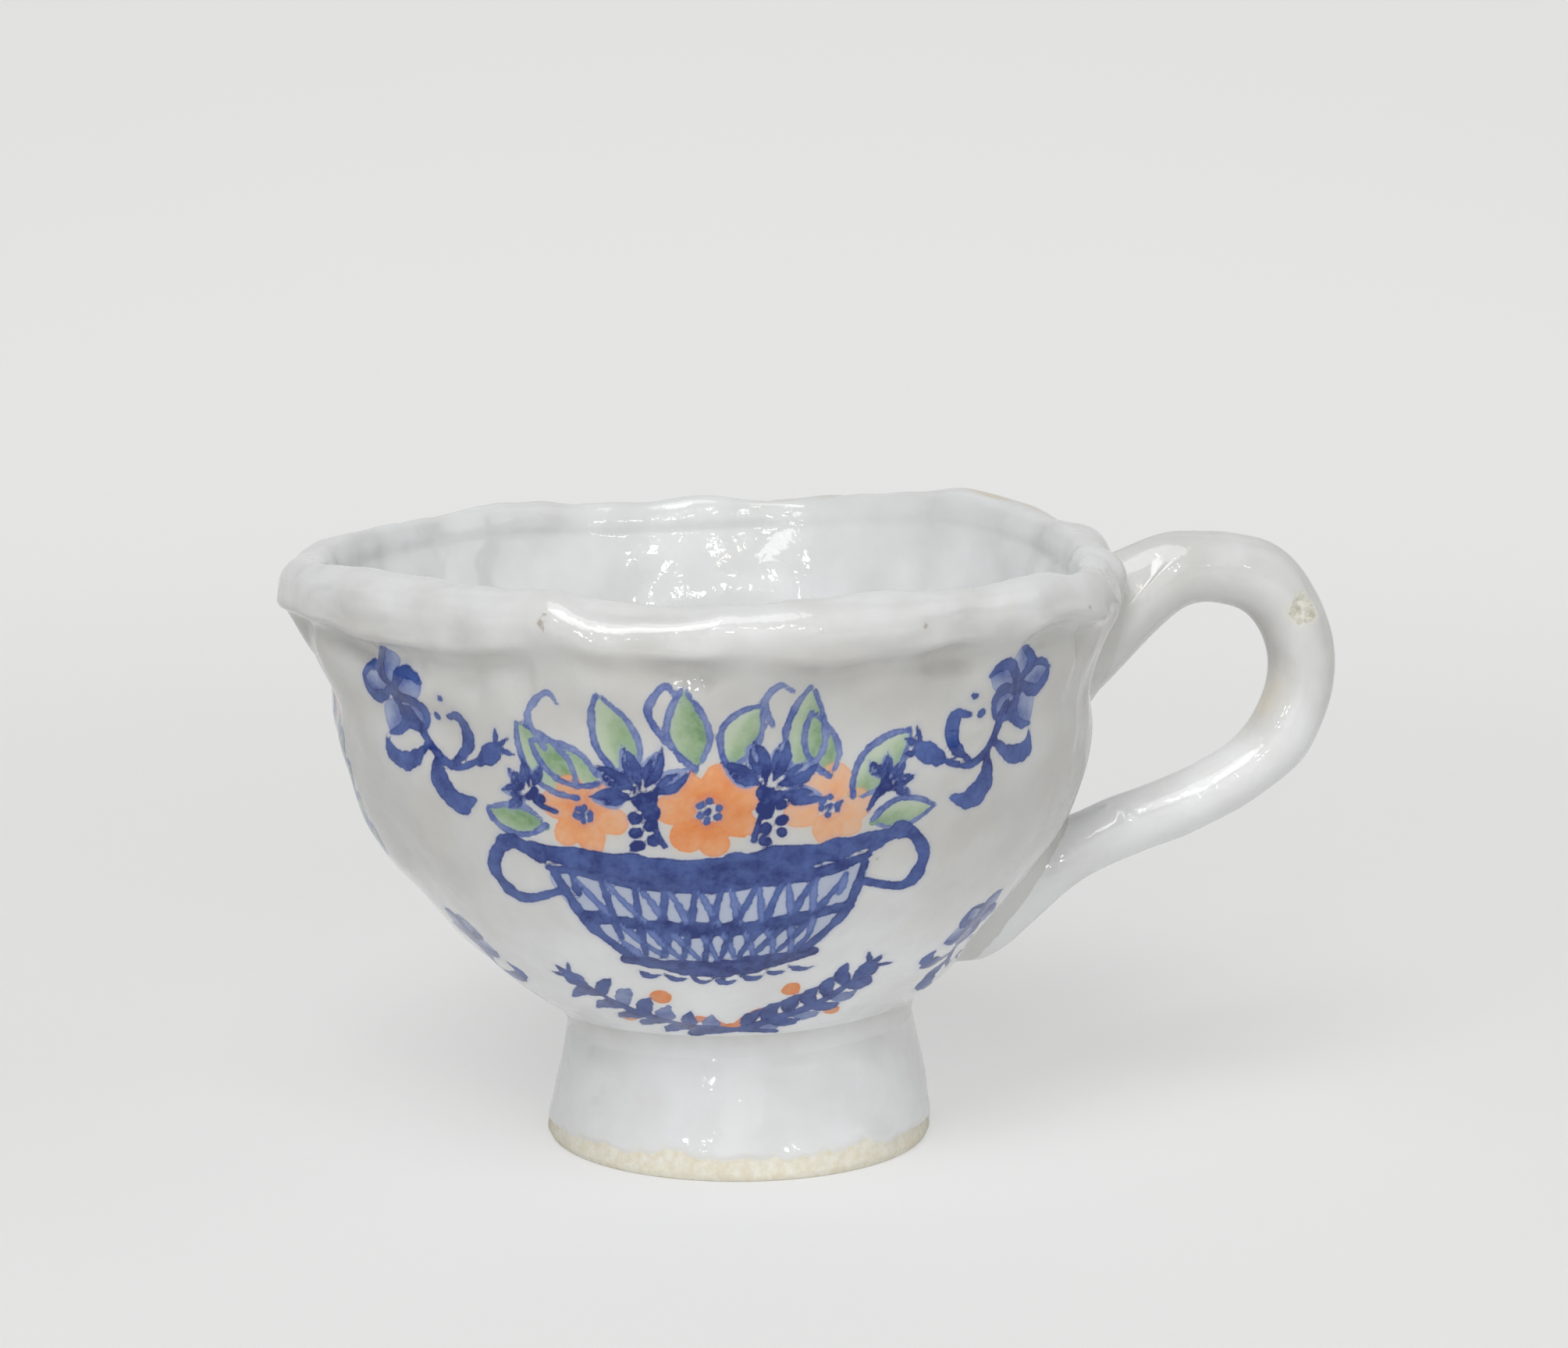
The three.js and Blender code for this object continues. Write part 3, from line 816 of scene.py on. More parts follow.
up_foot = slice(len(edge_angle), len(edge_angle) + len(side_height))
fillet_down = all_round(np.interp(FILLET_LOW, foot_line[up_foot, 1], foot_length[up_foot]))
top_row = slice((FILLET_ROWS - 1) * FILLET_COLUMNS, FILLET_ROWS * FILLET_COLUMNS)
fillet_facing = np.zeros((len(fillet_points), 3))
fillet_facing[top_row] = marked_facing(fillet_turns, fillet_high)
fillet_facing[:FILLET_COLUMNS] = facing(foot_point, fillet_turns, fillet_down, FOOT_SHADE_STEPS)
foot_joint.data.normals_split_custom_set_from_vertices(fillet_facing.tolist())

# %% [markdown]
# ## The handle
# The handle is a rolled coil, bent into an ear while soft. We draw its outer and its inner edge as two
# smooth lines through a few stations, and set an oval ring between them at every step. Near both roots the
# rings turn until they follow the wall of the bowl. The stations say how far out and how far up the edge is,
# and how far the coil has turned over by then.

# %% Sizes and stations of the handle
HANDLE_ANGLE = 8
HANDLE_REACH = 79.4
HANDLE_RISE = 0.6
HANDLE_WIDTH = 9.2
HANDLE_THICKNESS = 9.3
ROOT_SHARE = 0.2  # the part of the coil's length, at each end, over which it widens towards its root
COLLAR_SIZE = 2.06
ROOT_LIFT = 2.2
UPPER_ROOT = {"length": 17, "width": 9.8}
UPPER_ROOT["height"] = CROWN_START - 0.3 - COLLAR_SIZE - UPPER_ROOT["length"] / 2
LOWER_ROOT = {"length": 17.4, "width": 11}
LOWER_ROOT["height"] = CREASE_HEIGHT + FOOT_FILLET_UP + 1 + COLLAR_SIZE + LOWER_ROOT["length"] / 2

# Each station: shares of the way out from the wall and up from the lower root, extra mm, degrees turned.
STATIONS = [
    (0.15, 0.935, 2.2, -4),
    (0.44, 1, 0.6, 0),
    (0.8, 0.945, 0.6, 33),
    (1, 0.71, 0, 84),
    (0.89, 0.44, -0.1, 112),
    (0.57, 0.265, -1.4, 154),
    (0.35, 0.19, -1.4, 162),
    (0.23, 0.135, -0.6, 176),
    (0.11, 0.055, 5.4, 195),
]
HANDLE_LINE = math.radians(HANDLE_ANGLE)
OUTWARD = np.array([math.cos(HANDLE_LINE), math.sin(HANDLE_LINE), 0.0])
SIDEWAYS = np.array([-math.sin(HANDLE_LINE), math.cos(HANDLE_LINE), 0.0])


def on_wall(across, height, lifted):
    """A point of the even wall beside the handle's line, lifted off the clay."""
    across, height = np.broadcast_arrays(np.asarray(across, float), np.asarray(height, float))

    def at(sideways, up):
        return hand_built(HANDLE_LINE + sideways / outer_radius(up), outer_radius(up), up)

    step = 0.2
    round_cup = at(across + step, height) - at(across - step, height)
    up_wall = at(across, height + step) - at(across, height - step)
    return at(across, height) + unit(np.cross(round_cup, up_wall)) * lifted


print("roots at", round(UPPER_ROOT["height"], 1), "and", round(LOWER_ROOT["height"], 1), "mm above the table")

# %% A smooth line through stations
def through(points, share):
    """A line through all points, paced by their distances, so that it never loops between two close ones."""
    points = np.asarray(points)
    last = len(points) - 1
    spot = min(max(share, 0), 1) * last
    index = min(int(spot), last - 1)
    part = spot - index
    before = points[index - 1] if index > 0 else 2 * points[0] - points[1]
    after = points[index + 2] if index + 2 <= last else 2 * points[last] - points[last - 1]
    p1, p2 = points[index], points[index + 1]
    d0, d1, d2 = (math.sqrt(np.linalg.norm(b - a)) for a, b in ((before, p1), (p1, p2), (p2, after)))
    t1 = ((p1 - before) / d0 - (p2 - before) / (d0 + d1) + (p2 - p1) / d1) * d1
    t2 = ((p2 - p1) / d1 - (after - p1) / (d1 + d2) + (after - p2) / d2) * d1
    bend = -3 * p1 + 3 * p2 - 2 * t1 - t2
    twist = 2 * p1 - 2 * p2 + t1 + t2
    return p1 + t1 * part + bend * part ** 2 + twist * part ** 3


def handle_edges():
    beside_rim = float(on_wall(0, CROWN_START, 0) @ OUTWARD)
    beside_root = float(on_wall(0, LOWER_ROOT["height"], 0) @ OUTWARD)
    top = RIM_HEIGHT + HANDLE_RISE - HANDLE_THICKNESS / 2
    reach = HANDLE_REACH - HANDLE_THICKNESS / 2
    upper, lower = UPPER_ROOT["height"], LOWER_ROOT["height"]
    outer = [on_wall(0, upper + UPPER_ROOT["length"] / 2, ROOT_LIFT)]
    inner = [on_wall(0, upper - UPPER_ROOT["length"] / 2, ROOT_LIFT)]
    for out_share, up_share, extra, tip in STATIONS:
        out = blend(blend(beside_root, beside_rim, up_share), reach, out_share)
        up = blend(lower, top, up_share)
        half = (HANDLE_THICKNESS + extra) / 2
        lean = math.radians(tip)
        outer.append(OUTWARD * (out + half * math.sin(lean)) + np.array([0, 0, up + half * math.cos(lean)]))
        inner.append(OUTWARD * (out - half * math.sin(lean)) + np.array([0, 0, up - half * math.cos(lean)]))
    outer.append(on_wall(0, lower - LOWER_ROOT["length"] / 2, ROOT_LIFT))
    inner.append(on_wall(0, lower + LOWER_ROOT["length"] / 2, ROOT_LIFT))
    return outer, inner


outer_edge, inner_edge = handle_edges()
print("the handle's edges run through", len(outer_edge), "stations each")

# %% Rings along the handle
HANDLE_SIDES = 96
HANDLE_STEPS = 150
side_angle = np.arange(HANDLE_SIDES) / HANDLE_SIDES * 2 * math.pi


def round_the_root(top, sides, bottom):
    """One value per side of a ring, from its top over the sides to its bottom."""
    upright = np.cos(side_angle)
    value = top * np.maximum(upright, 0) ** 2 + bottom * np.minimum(upright, 0) ** 2
    return value + sides * np.sin(side_angle) ** 2


def turned_over(ring):
    """The coil turns over on its way down, so a ring of the lower root starts at its lowest point."""
    return ring[(HANDLE_SIDES // 2 - np.arange(HANDLE_SIDES)) % HANDLE_SIDES]


def as_it_is(ring):
    return ring


def free_ring(share):
    inner_point = through(inner_edge, share)
    half_way = (through(outer_edge, share) - inner_point) / 2
    upper_extra = (UPPER_ROOT["width"] - HANDLE_WIDTH) * (1 - smooth(share, 0, ROOT_SHARE))
    lower_extra = (LOWER_ROOT["width"] - HANDLE_WIDTH) * smooth(share, 1 - ROOT_SHARE, 1)
    wide = (HANDLE_WIDTH + upper_extra + lower_extra) / 2
    across = np.outer(np.sin(side_angle), SIDEWAYS * wide)
    return inner_point + half_way + np.outer(np.cos(side_angle), half_way) - across


def ring_round(root, grow):
    """A root's oval, grown by some mm: how far across the wall and how high each of its points is."""
    across = -(root["width"] / 2 + grow) * np.sin(side_angle)
    up = (root["length"] / 2 + grow) * np.cos(side_angle)
    return across, root["height"] + up


def skin_ring(root, grow, lifted=0.0):
    across, height = ring_round(root, grow)
    turn = HANDLE_LINE + across / outer_radius(height)
    along = np.interp(height, line_height[OUTSIDE], line_length[OUTSIDE])
    return wall_point(turn, along) + wall_facing(turn, along) * lifted, turn, along


print("a ring of the coil has", HANDLE_SIDES, "points")

# %% Land the coil on the wall
LEAVES_RIM = 0.185  # share of the coil's length where the web under the upper root begins
LEAVES_WALL = 0.765
UPPER_LANDING = 26  # rings
LOWER_LANDING = 34
LANDING_SINK = 0.7  # mm into the clay
CAP_SINK = 1.6
CAP_SHRINK = 2.5
# At the top, the sides and the bottom of a root: how many mm the web spreads, and how long its bend is.
UPPER_WEB, UPPER_BEND = (3.4, 0.4, 0), (0.38, 0.33, 0.1)
LOWER_WEB, LOWER_BEND = (0, 0, 0), (0.3, 0.36, 0.36)


def double_bend(first, leave, arrive, last, share):
    """A curve from first to last that sets out towards leave and comes in from arrive."""
    curve = first * (1 - share) ** 3 + leave * 3 * share * (1 - share) ** 2
    return curve + arrive * 3 * share ** 2 * (1 - share) + last * share ** 3


def landing(leaves_at, back, root, web, bend, count, turn_it):
    """Rings that carry the free coil down on the wall: every side runs its own smooth curve."""
    first, before = free_ring(leaves_at), free_ring(leaves_at + back)
    grow = round_the_root(*web)
    target, turns, alongs = skin_ring(root, grow, -LANDING_SINK)
    away = turn_it(wall_facing(turns, alongs))
    target = turn_it(target)
    arms = turn_it(round_the_root(*bend))[:, None] * np.linalg.norm(target - first, axis=-1, keepdims=True)
    leave = first + unit(first - before) * arms
    arrive = target + away * arms
    shares = np.linspace(0, 1, count + 1)[1:]
    rings = [double_bend(first, leave, arrive, target, share) for share in shares]
    return rings + [turn_it(skin_ring(root, grow - CAP_SHRINK, -CAP_SINK)[0])]


upper_rings = landing(LEAVES_RIM, 0.01, UPPER_ROOT, UPPER_WEB, UPPER_BEND, UPPER_LANDING, as_it_is)
lower_rings = landing(LEAVES_WALL, -0.01, LOWER_ROOT, LOWER_WEB, LOWER_BEND, LOWER_LANDING, turned_over)
handle_rings = upper_rings[::-1]
handle_rings += [free_ring(share) for share in np.linspace(LEAVES_RIM, LEAVES_WALL, HANDLE_STEPS + 1)]
handle_rings += lower_rings
print("rings along the handle:", len(handle_rings))

# %% Even out the rings between the roots
EVEN_REACH = 10  # rings on either side that count in an average
EVEN_SPREAD = 4.5
UPPER_KEEPS = (14, 34)  # rings over which the evening-out comes in after the upper root
LOWER_KEEPS = (22, 44)

handle_grid = np.array(handle_rings)
ring_number = np.arange(len(handle_grid))
ring_reach = np.arange(-EVEN_REACH, EVEN_REACH + 1)
nearby = np.clip(ring_number[:, None] + ring_reach, 0, len(handle_grid) - 1)
even_grid = np.einsum("k,rksx->rsx", averaging(ring_reach, EVEN_SPREAD), handle_grid[nearby])
between_roots = smooth(ring_number, *UPPER_KEEPS) * smooth(len(handle_grid) - ring_number, *LOWER_KEEPS)
handle_grid = blend(handle_grid, even_grid, between_roots[:, None, None])
print("evened rings:", int((between_roots > 0).sum()))

# %% [markdown]
# The bent coil gets its own dents. A rolled coil has long, shallow flats from the palm and small lumps where
# the glaze ran over grit. The marks fade out at both roots, so that the soft clay round them still fits.

# %% The handle's skin
HANDLE_LUMPS = [(0.34, 14, 9.1), (0.17, 6.5, 3.3), (0.05, 3.2, 1.9)]
ROOT_FADE = (0.02, 0.09)  # shares of the coil's length over which the lumps come in
CHIP_RING, CHIP_SIDE = 68, 20
CHIP_RADIUS = 1.95
CHIP_EDGE = (0.5, 0.9, 2.6)  # a round mark that makes its edge ragged
CHIP_DEPTH = 0.4
# Grains under the glaze: ring, side, width and height in mm.
PIMPLES = [(162, 37, 0.8, 0.32), (157, 33, 0.6, 0.25), (166, 42, 0.7, 0.25), (129, 29, 0.8, 0.2)]


def grid_facing(grid):
    round_coil = np.roll(grid, -1, axis=1) - np.roll(grid, 1, axis=1)
    along_coil = np.gradient(grid, axis=0)
    return unit(np.cross(round_coil, along_coil))


def handle_relief(points, share):
    lumpy = sum(rounded(mark, points) for mark in HANDLE_LUMPS)
    return lumpy * (smooth(share, *ROOT_FADE) * smooth(1 - share, *ROOT_FADE))


ring_share = np.linspace(0, 1, len(handle_grid))
handle_facing = grid_facing(handle_grid)
from_chip = np.linalg.norm(handle_grid - handle_grid[CHIP_RING, CHIP_SIDE], axis=-1)
chip_depth = CHIP_RADIUS - from_chip + rounded(CHIP_EDGE, handle_grid)
handle_dents = handle_relief(handle_grid, ring_share[:, None]) - CHIP_DEPTH * smooth(chip_depth, -0.2, 0.7)
for ring, side, width, height in PIMPLES:
    away = np.linalg.norm(handle_grid - handle_grid[ring, side], axis=-1)
    handle_dents = handle_dents + height * bell(away, 0, width)
handle_grid = handle_grid + handle_facing * handle_dents[..., None]
caps = handle_grid[[0, -1]].mean(axis=1)
handle_points = np.concatenate([caps[:1], handle_grid.reshape(-1, 3), caps[1:]])
handle_counts = [1] + [HANDLE_SIDES] * len(handle_grid) + [1]
handle = make_piece("handle_skin", handle_points, join_rings(handle_counts))

# %% [markdown]
# ## Soft clay round the roots
# Where a soft handle meets a leather-hard bowl, the potter scores both, presses them together with slip and
# smooths a little extra clay over the join. Each collar here is a hollow fillet like the one at the foot: it
# runs out along the wall on one side and along the handle on the other.

# %% The two collars
COLLAR_ROWS = 18
COLLAR_LUMPS = (0.5, 5, 4.2)
WALL_SINK = 0.05  # mm that the collar's edge lies below the wall
HANDLE_SINK = 0.03
WALL_CORNER = 0.42  # how far in, as a share of its width, the collar starts to leave the wall
HANDLE_CORNER = 0.4
# At the top, the sides and the bottom: mm that a collar spreads on the wall, and rings that it climbs.
UPPER_COLLAR, UPPER_CLIMB = (4.9, 4.0, 1.8), (9, 10, 8)
LOWER_COLLAR, LOWER_CLIMB = (2.2, 2.8, 2.0), (21, 12, 8)


def collar_piece(name, root, collar, climb, lower):
    turn_it = turned_over if lower else as_it_is
    spread = round_the_root(*collar) + rounded(COLLAR_LUMPS, on_wall(*ring_round(root, 0), 0))
    wall_edge, turns, alongs = skin_ring(root, spread, -WALL_SINK)
    wall_corner = turn_it(skin_ring(root, spread * WALL_CORNER)[0])
    rows = turn_it(round_the_root(*climb)).round().astype(int)
    rows = len(handle_grid) - 1 - rows if lower else rows
    step = 1 if lower else -1
    side = np.arange(HANDLE_SIDES)
    on_handle = handle_grid[rows, side] - handle_facing[rows, side] * HANDLE_SINK
    backward = unit(handle_grid[rows + step * 2, side] - handle_grid[rows - step * 2, side])
    span = np.linalg.norm(on_handle - wall_corner, axis=-1, keepdims=True)
    handle_corner = on_handle + backward * span * HANDLE_CORNER
    share = np.linspace(0, 1, COLLAR_ROWS)[:, None, None]
    bend = double_bend(turn_it(wall_edge), wall_corner, handle_corner, on_handle, share)
    back = turn_it(skin_ring(root, -1.2, -0.6)[0])
    points = np.concatenate([bend.reshape(-1, 3), back])
    faces = join_rings([HANDLE_SIDES] * (COLLAR_ROWS + 1), loops=True)
    if lower:
        faces = [face[::-1] for face in faces]
    piece = make_piece(name, points, faces)
    directions = np.zeros((len(points), 3))
    directions[:HANDLE_SIDES] = turn_it(marked_facing(turns, alongs))
    directions[(COLLAR_ROWS - 1) * HANDLE_SIDES:COLLAR_ROWS * HANDLE_SIDES] = handle_facing[rows, side]
    piece.data.normals_split_custom_set_from_vertices(directions.tolist())
    return piece


upper_joint = collar_piece("handle_upper_joint_skin", UPPER_ROOT, UPPER_COLLAR, UPPER_CLIMB, lower=False)
lower_joint = collar_piece("handle_lower_joint_skin", LOWER_ROOT, LOWER_COLLAR, LOWER_CLIMB, lower=True)

# %% [markdown]
# ## Painting with a brush
# The painting lies in the glaze: the potter paints with metal colours on the dry, white powder coat, and the
# fire melts the strokes into it. We could draw such strokes in nodes, but a hundred of them would be slow.
# So we compute them once on the points of the skin. For each colour a point keeps two numbers. One says how
# deep inside the nearest stroke it is, in millimetres. The other says how much colour the brush left. The
# depth changes evenly from point to point, so the material can cut a crisp edge through it, much finer than
# the mesh.

# %% The colours on the palette
OUT_OF_REACH = -1.5  # mm; a point this far from a stroke needs no exact number
PAINT_FROM = -1.5  # mm along the wall, from the crease
DARKER = 0.06  # how much darker a colour gets where two of its strokes overlap
COLOURS = ("wash", "cobalt", "orange", "green", "nick")
stroke_depth = {colour: np.full(len(bowl_points), OUT_OF_REACH) for colour in COLOURS}
stroke_load = {colour: np.zeros(len(bowl_points)) for colour in COLOURS}
wall_up = bowl_alongs - AT_CREASE
wall_radius = outer_radius(np.interp(wall_up + AT_CREASE, line_length, line_height))
on_outside = (wall_up > PAINT_FROM) & (bowl_alongs <= AT_SEAM + 0.01)
print("points that can take colour:", int(on_outside.sum()))


# %% A sheet of paper laid on the wall
def sheet_at(turn_degrees, up, lean=0.0, size=1.0, mirrored=False):
    """Millimetres to the right and up, measured along the wall from one place on it."""
    off = bowl_turns - math.radians(turn_degrees)
    off = np.arctan2(np.sin(off), np.cos(off)) * wall_radius
    rise = wall_up - up
    cos_lean, sin_lean = math.cos(math.radians(lean)), math.sin(math.radians(lean))
    right = (off * cos_lean + rise * sin_lean) / size
    upward = (rise * cos_lean - off * sin_lean) / size
    return {"spots": np.stack([-right if mirrored else right, upward], axis=1), "size": size}


def touch(sheet, colour, depth, here, load):
    """Adds a stroke: the deeper one wins, and where two overlap the colour is darker."""
    depth = depth * sheet["size"]
    before = stroke_depth[colour][here]
    both = (before > 0) & (depth > 0)
    loads = np.where(depth > before, load, stroke_load[colour][here])
    stroke_load[colour][here] = np.where(both, np.maximum(loads, stroke_load[colour][here]) + DARKER, loads)
    stroke_depth[colour][here] = np.maximum(before, depth)


def near(sheet, line, half):
    """The points of the skin round a line on the sheet, and where on the sheet they are."""
    margin = half - OUT_OF_REACH / sheet["size"]
    above = (sheet["spots"] > line.min(axis=0) - margin).all(axis=1)
    below = (sheet["spots"] < line.max(axis=0) + margin).all(axis=1)
    here = np.where(on_outside & above & below)[0]
    return here, sheet["spots"][here]


print("a sheet in front reaches", sheet_at(-90, 0)["spots"][on_outside, 1].max().round(1), "mm up the wall")

# %% [markdown]
# A stroke is a smooth line with a width that swells and thins, like the mark of a pointed brush. A wash is a
# filled shape. Both are drawn on a sheet, and the sheet can lean, shrink or be turned over, so that one
# sprig serves all round the cup.

# %% A brush stroke
hand = np.random.default_rng(29)  # the painter's hand is never quite steady
SHAKE = 0.12  # mm
LINE_SHAKE = 0.05  # mm, for an outline that is drawn with more care
UNEVEN_WIDTH = 0.12
STEPS_PER_SPAN = 6
FAR = 99.0


def off_line(spots, start, span):
    """How far along a short line each spot is, from 0 to 1, and how far off the line."""
    part = np.clip(((spots - start) @ span) / max(span @ span, 1e-9), 0, 1)
    return part, np.linalg.norm(spots - start - part[:, None] * span, axis=1)


def brush(sheet, colour, path, widths, loads=(0.9, 0.8), shake=SHAKE):
    path = np.array(path, float) + hand.normal(0, shake, (len(path), 2))
    count = (len(path) - 1) * STEPS_PER_SPAN + 1
    shares = np.linspace(0, 1, count)
    line = np.array([through(path, share) for share in shares])
    halves = np.interp(shares, np.linspace(0, 1, len(widths)), widths)
    halves = halves * (1 + UNEVEN_WIDTH * hand.normal(0, 1, count))
    here, spots = near(sheet, line, max(halves))
    depth = np.full(len(here), -FAR)
    load = np.zeros(len(here))
    for step in range(count - 1):
        part, off = off_line(spots, line[step], line[step + 1] - line[step])
        inside = blend(halves[step], halves[step + 1], part) - off
        load = np.where(inside > depth, blend(loads[0], loads[1], (step + part) / count), load)
        depth = np.maximum(depth, inside)
    touch(sheet, colour, depth, here, load)


def draw(sheet, colour, strokes):
    """Each stroke has its path, its half widths along the way, and its colour's load at both ends."""
    for path, widths, loads in strokes:
        brush(sheet, colour, path, widths, loads)


print("the hand shakes by about", SHAKE, "mm")


# %% A wash
def wash(sheet, colour, corners, load, last_load=None):
    """Fills a shape. Its colour can run from one load at the second corner to another at the last one."""
    corners = np.array(corners, float) + hand.normal(0, SHAKE, (len(corners), 2))
    ring = np.vstack([corners[-1:], corners, corners[:2]])
    first = 1 / (len(ring) - 1)
    shares = np.linspace(first, 1 - first, len(corners) * STEPS_PER_SPAN + 1)
    outline = np.array([through(ring, share) for share in shares])[:-1]
    here, spots = near(sheet, outline, 0)
    nearest = np.full(len(here), FAR)
    inside = np.zeros(len(here), bool)
    for start, end in zip(outline, np.roll(outline, -1, axis=0)):
        span = end - start
        nearest = np.minimum(nearest, off_line(spots, start, span)[1])
        across = (start[1] > spots[:, 1]) != (end[1] > spots[:, 1])
        if span[1]:
            inside ^= across & (spots[:, 0] < start[0] + span[0] * (spots[:, 1] - start[1]) / span[1])
    run = corners[-1] - corners[1]
    share = smooth((spots - corners[1]) @ run / (run @ run), 0.1, 0.9)
    loads = blend(load, load if last_load is None else last_load, share)
    touch(sheet, colour, np.where(inside, nearest, -nearest), here, loads)
    return outline


def polar(middle, angle, distance):
    turn = math.radians(angle)
    return (middle[0] + distance * math.cos(turn), middle[1] + distance * math.sin(turn))


print("a leaf 10 mm long at 60 degrees ends at", np.round(polar((0, 0), 60, 10), 1))

# %% [markdown]
# ## Small things that repeat
# Folk painters build everything from a few strokes learned by heart: a dot, a comma, a petal, a leaf. Our
# leaf is a pale wash with a darker spine and an outline that is open on one side. Our bloom is a ring of fat
# petals round a few dots. The bud is a drop with three ticks, and the cornflower is a fan of pale petals with
# two dark commas on each.

# %% Dot, comma and leaf
def dot(sheet, colour, middle, half, load=0.9):
    beside = (middle[0] + half * 0.3, middle[1] + half * 0.2)
    brush(sheet, colour, [middle, beside], [half, half * 0.9], (load, load))


def comma(sheet, colour, start, angle, length, half, bend=25, load=(0.95, 0.6)):
    middle = polar(start, angle, length * 0.55)
    end = polar(middle, angle + bend, length * 0.5)
    brush(sheet, colour, [start, middle, end], [half * 0.3, half, half * 0.75, half * 0.15], load)


def leaf(sheet, start, angle, length, width, load=0.35):
    tip = polar(start, angle, length)
    left = polar(polar(start, angle, length * 0.45), angle + 90, width / 2)
    right = polar(polar(start, angle, length * 0.4), angle - 90, width / 2)
    edge = wash(sheet, "green", [start, left, tip, right], load, load + 0.6)
    spine = [start, polar(start, angle + 3, length * 0.5), polar(start, angle, length * 0.8)]
    brush(sheet, "green", spine, [0.55, 0.42, 0.3], (1.1, 0.9))
    brush(sheet, "wash", edge[0:14:3], [0.45, 0.4, 0.46, 0.34], (0.95, 0.8), LINE_SHAKE)
    brush(sheet, "wash", edge[13:23:3], [0.3, 0.42, 0.3], (0.8, 0.65), LINE_SHAKE)


print("ready to paint: dot, comma and leaf")


# %% Bloom, bud and cornflower
def bloom(sheet, middle, size, petals=6, load=0.75, start=15):
    for petal in range(petals):
        angle = start + petal * 360 / petals + hand.normal(0, 5)
        near_end = polar(middle, angle, size * 0.38)
        far_end = polar(middle, angle + 6, size * (0.72 + hand.normal(0, 0.04)))
        half = size * 0.33 * 6 / petals
        strength = float(np.clip(load + hand.normal(0, 0.15), 0.15, 1))
        halves = [half * 0.6, half, half * 0.86]
        brush(sheet, "orange", [near_end, far_end], halves, (strength, strength * 0.6))
        for streak in (-12, 10):
            root = polar(middle, angle + streak * 0.4, size * 0.3)
            tip = polar(middle, angle + streak, size * (0.8 + hand.normal(0, 0.05)))
            brush(sheet, "orange", [root, tip], [0.42, 0.34, 0.2], (1.2, 1.0))
    for seed in range(6):
        dot(sheet, "cobalt", polar(middle, seed * 60 + 20, size * 0.19), size * 0.05 + 0.12, 0.6)
    dot(sheet, "cobalt", middle, 0.4, 0.8)


def bud(sheet, middle, angle, size, load=0.8):
    drop = [polar(middle, angle + 180, size), middle, polar(middle, angle, size * 0.5)]
    brush(sheet, "cobalt", drop, [size * 0.28, size * 0.6, size * 0.34], (load, load * 0.7))
    for aside in (-34, 0, 34):
        tick = [polar(middle, angle + aside * 0.7, size * 0.7), polar(middle, angle + aside, size * 1.6)]
        brush(sheet, "cobalt", tick, [0.4, 0.42, 0.14], (load, 0.7))


def cornflower(sheet, middle, angle, size):
    stem = [polar(middle, angle + 180, size * 1.1), polar(middle, angle + 176, size * 0.5), middle]
    brush(sheet, "cobalt", stem, [0.35, 0.42, 0.6], (0.95, 1.0))
    for aside in (-78, -40, 0, 40, 78):
        out = angle + aside
        start = polar(middle, out, size * 0.3)
        left, right = polar(start, out + 40, size * 0.34), polar(start, out - 40, size * 0.3)
        wash(sheet, "wash", [start, left, polar(start, out, size * 0.72), right], 0.35, 0.95)
        root = polar(middle, out, size * 0.2)
        comma(sheet, "cobalt", root, out - 14, size * 0.85, size * 0.12, 26, (1.05, 0.7))
        comma(sheet, "cobalt", start, out + 16, size * 0.6, size * 0.075, -24, (0.7, 0.9))
    for seed_angle in (-60, -20, 20, 60):
        dot(sheet, "cobalt", polar(middle, angle + 180 + seed_angle, size * 0.16), size * 0.13, 1.1)
    dot(sheet, "cobalt", polar(middle, angle + 180, size * 0.36), size * 0.16, 1.15)


print("ready to paint: bloom, bud and cornflower")

# %% [markdown]
# ## The sprig
# A blue flower with five petals hangs on a curved stem with curled leaves and a bud. The petals are pale
# washes, and a darker stroke runs down one side of each.

# %% Paint a sprig
SPRIG_STEM = [([(-3.2, 1.2), (0.4, -2.6), (5.6, -4.4), (10.0, -2.4)], [0.8, 0.62, 0.55, 0.45], (0.9, 0.7))]
SPRIG_LEAVES = [
    ([(2.0, -3.6), (2.7, -7.2), (5.8, -9.6), (8.6, -8.2)], [0.4, 1.6, 1.45, 0.4], (1.0, 0.55)),
    ([(0.2, -2.6), (-3.0, -5.8), (-6.6, -5.9), (-7.6, -3.8)], [0.4, 1.35, 1.1, 0.25], (0.85, 0.6)),
    ([(5.0, -4.3), (7.6, -0.8), (6.4, 2.6), (3.9, 2.0)], [0.4, 1.15, 0.95, 0.3], (0.9, 0.65)),
]


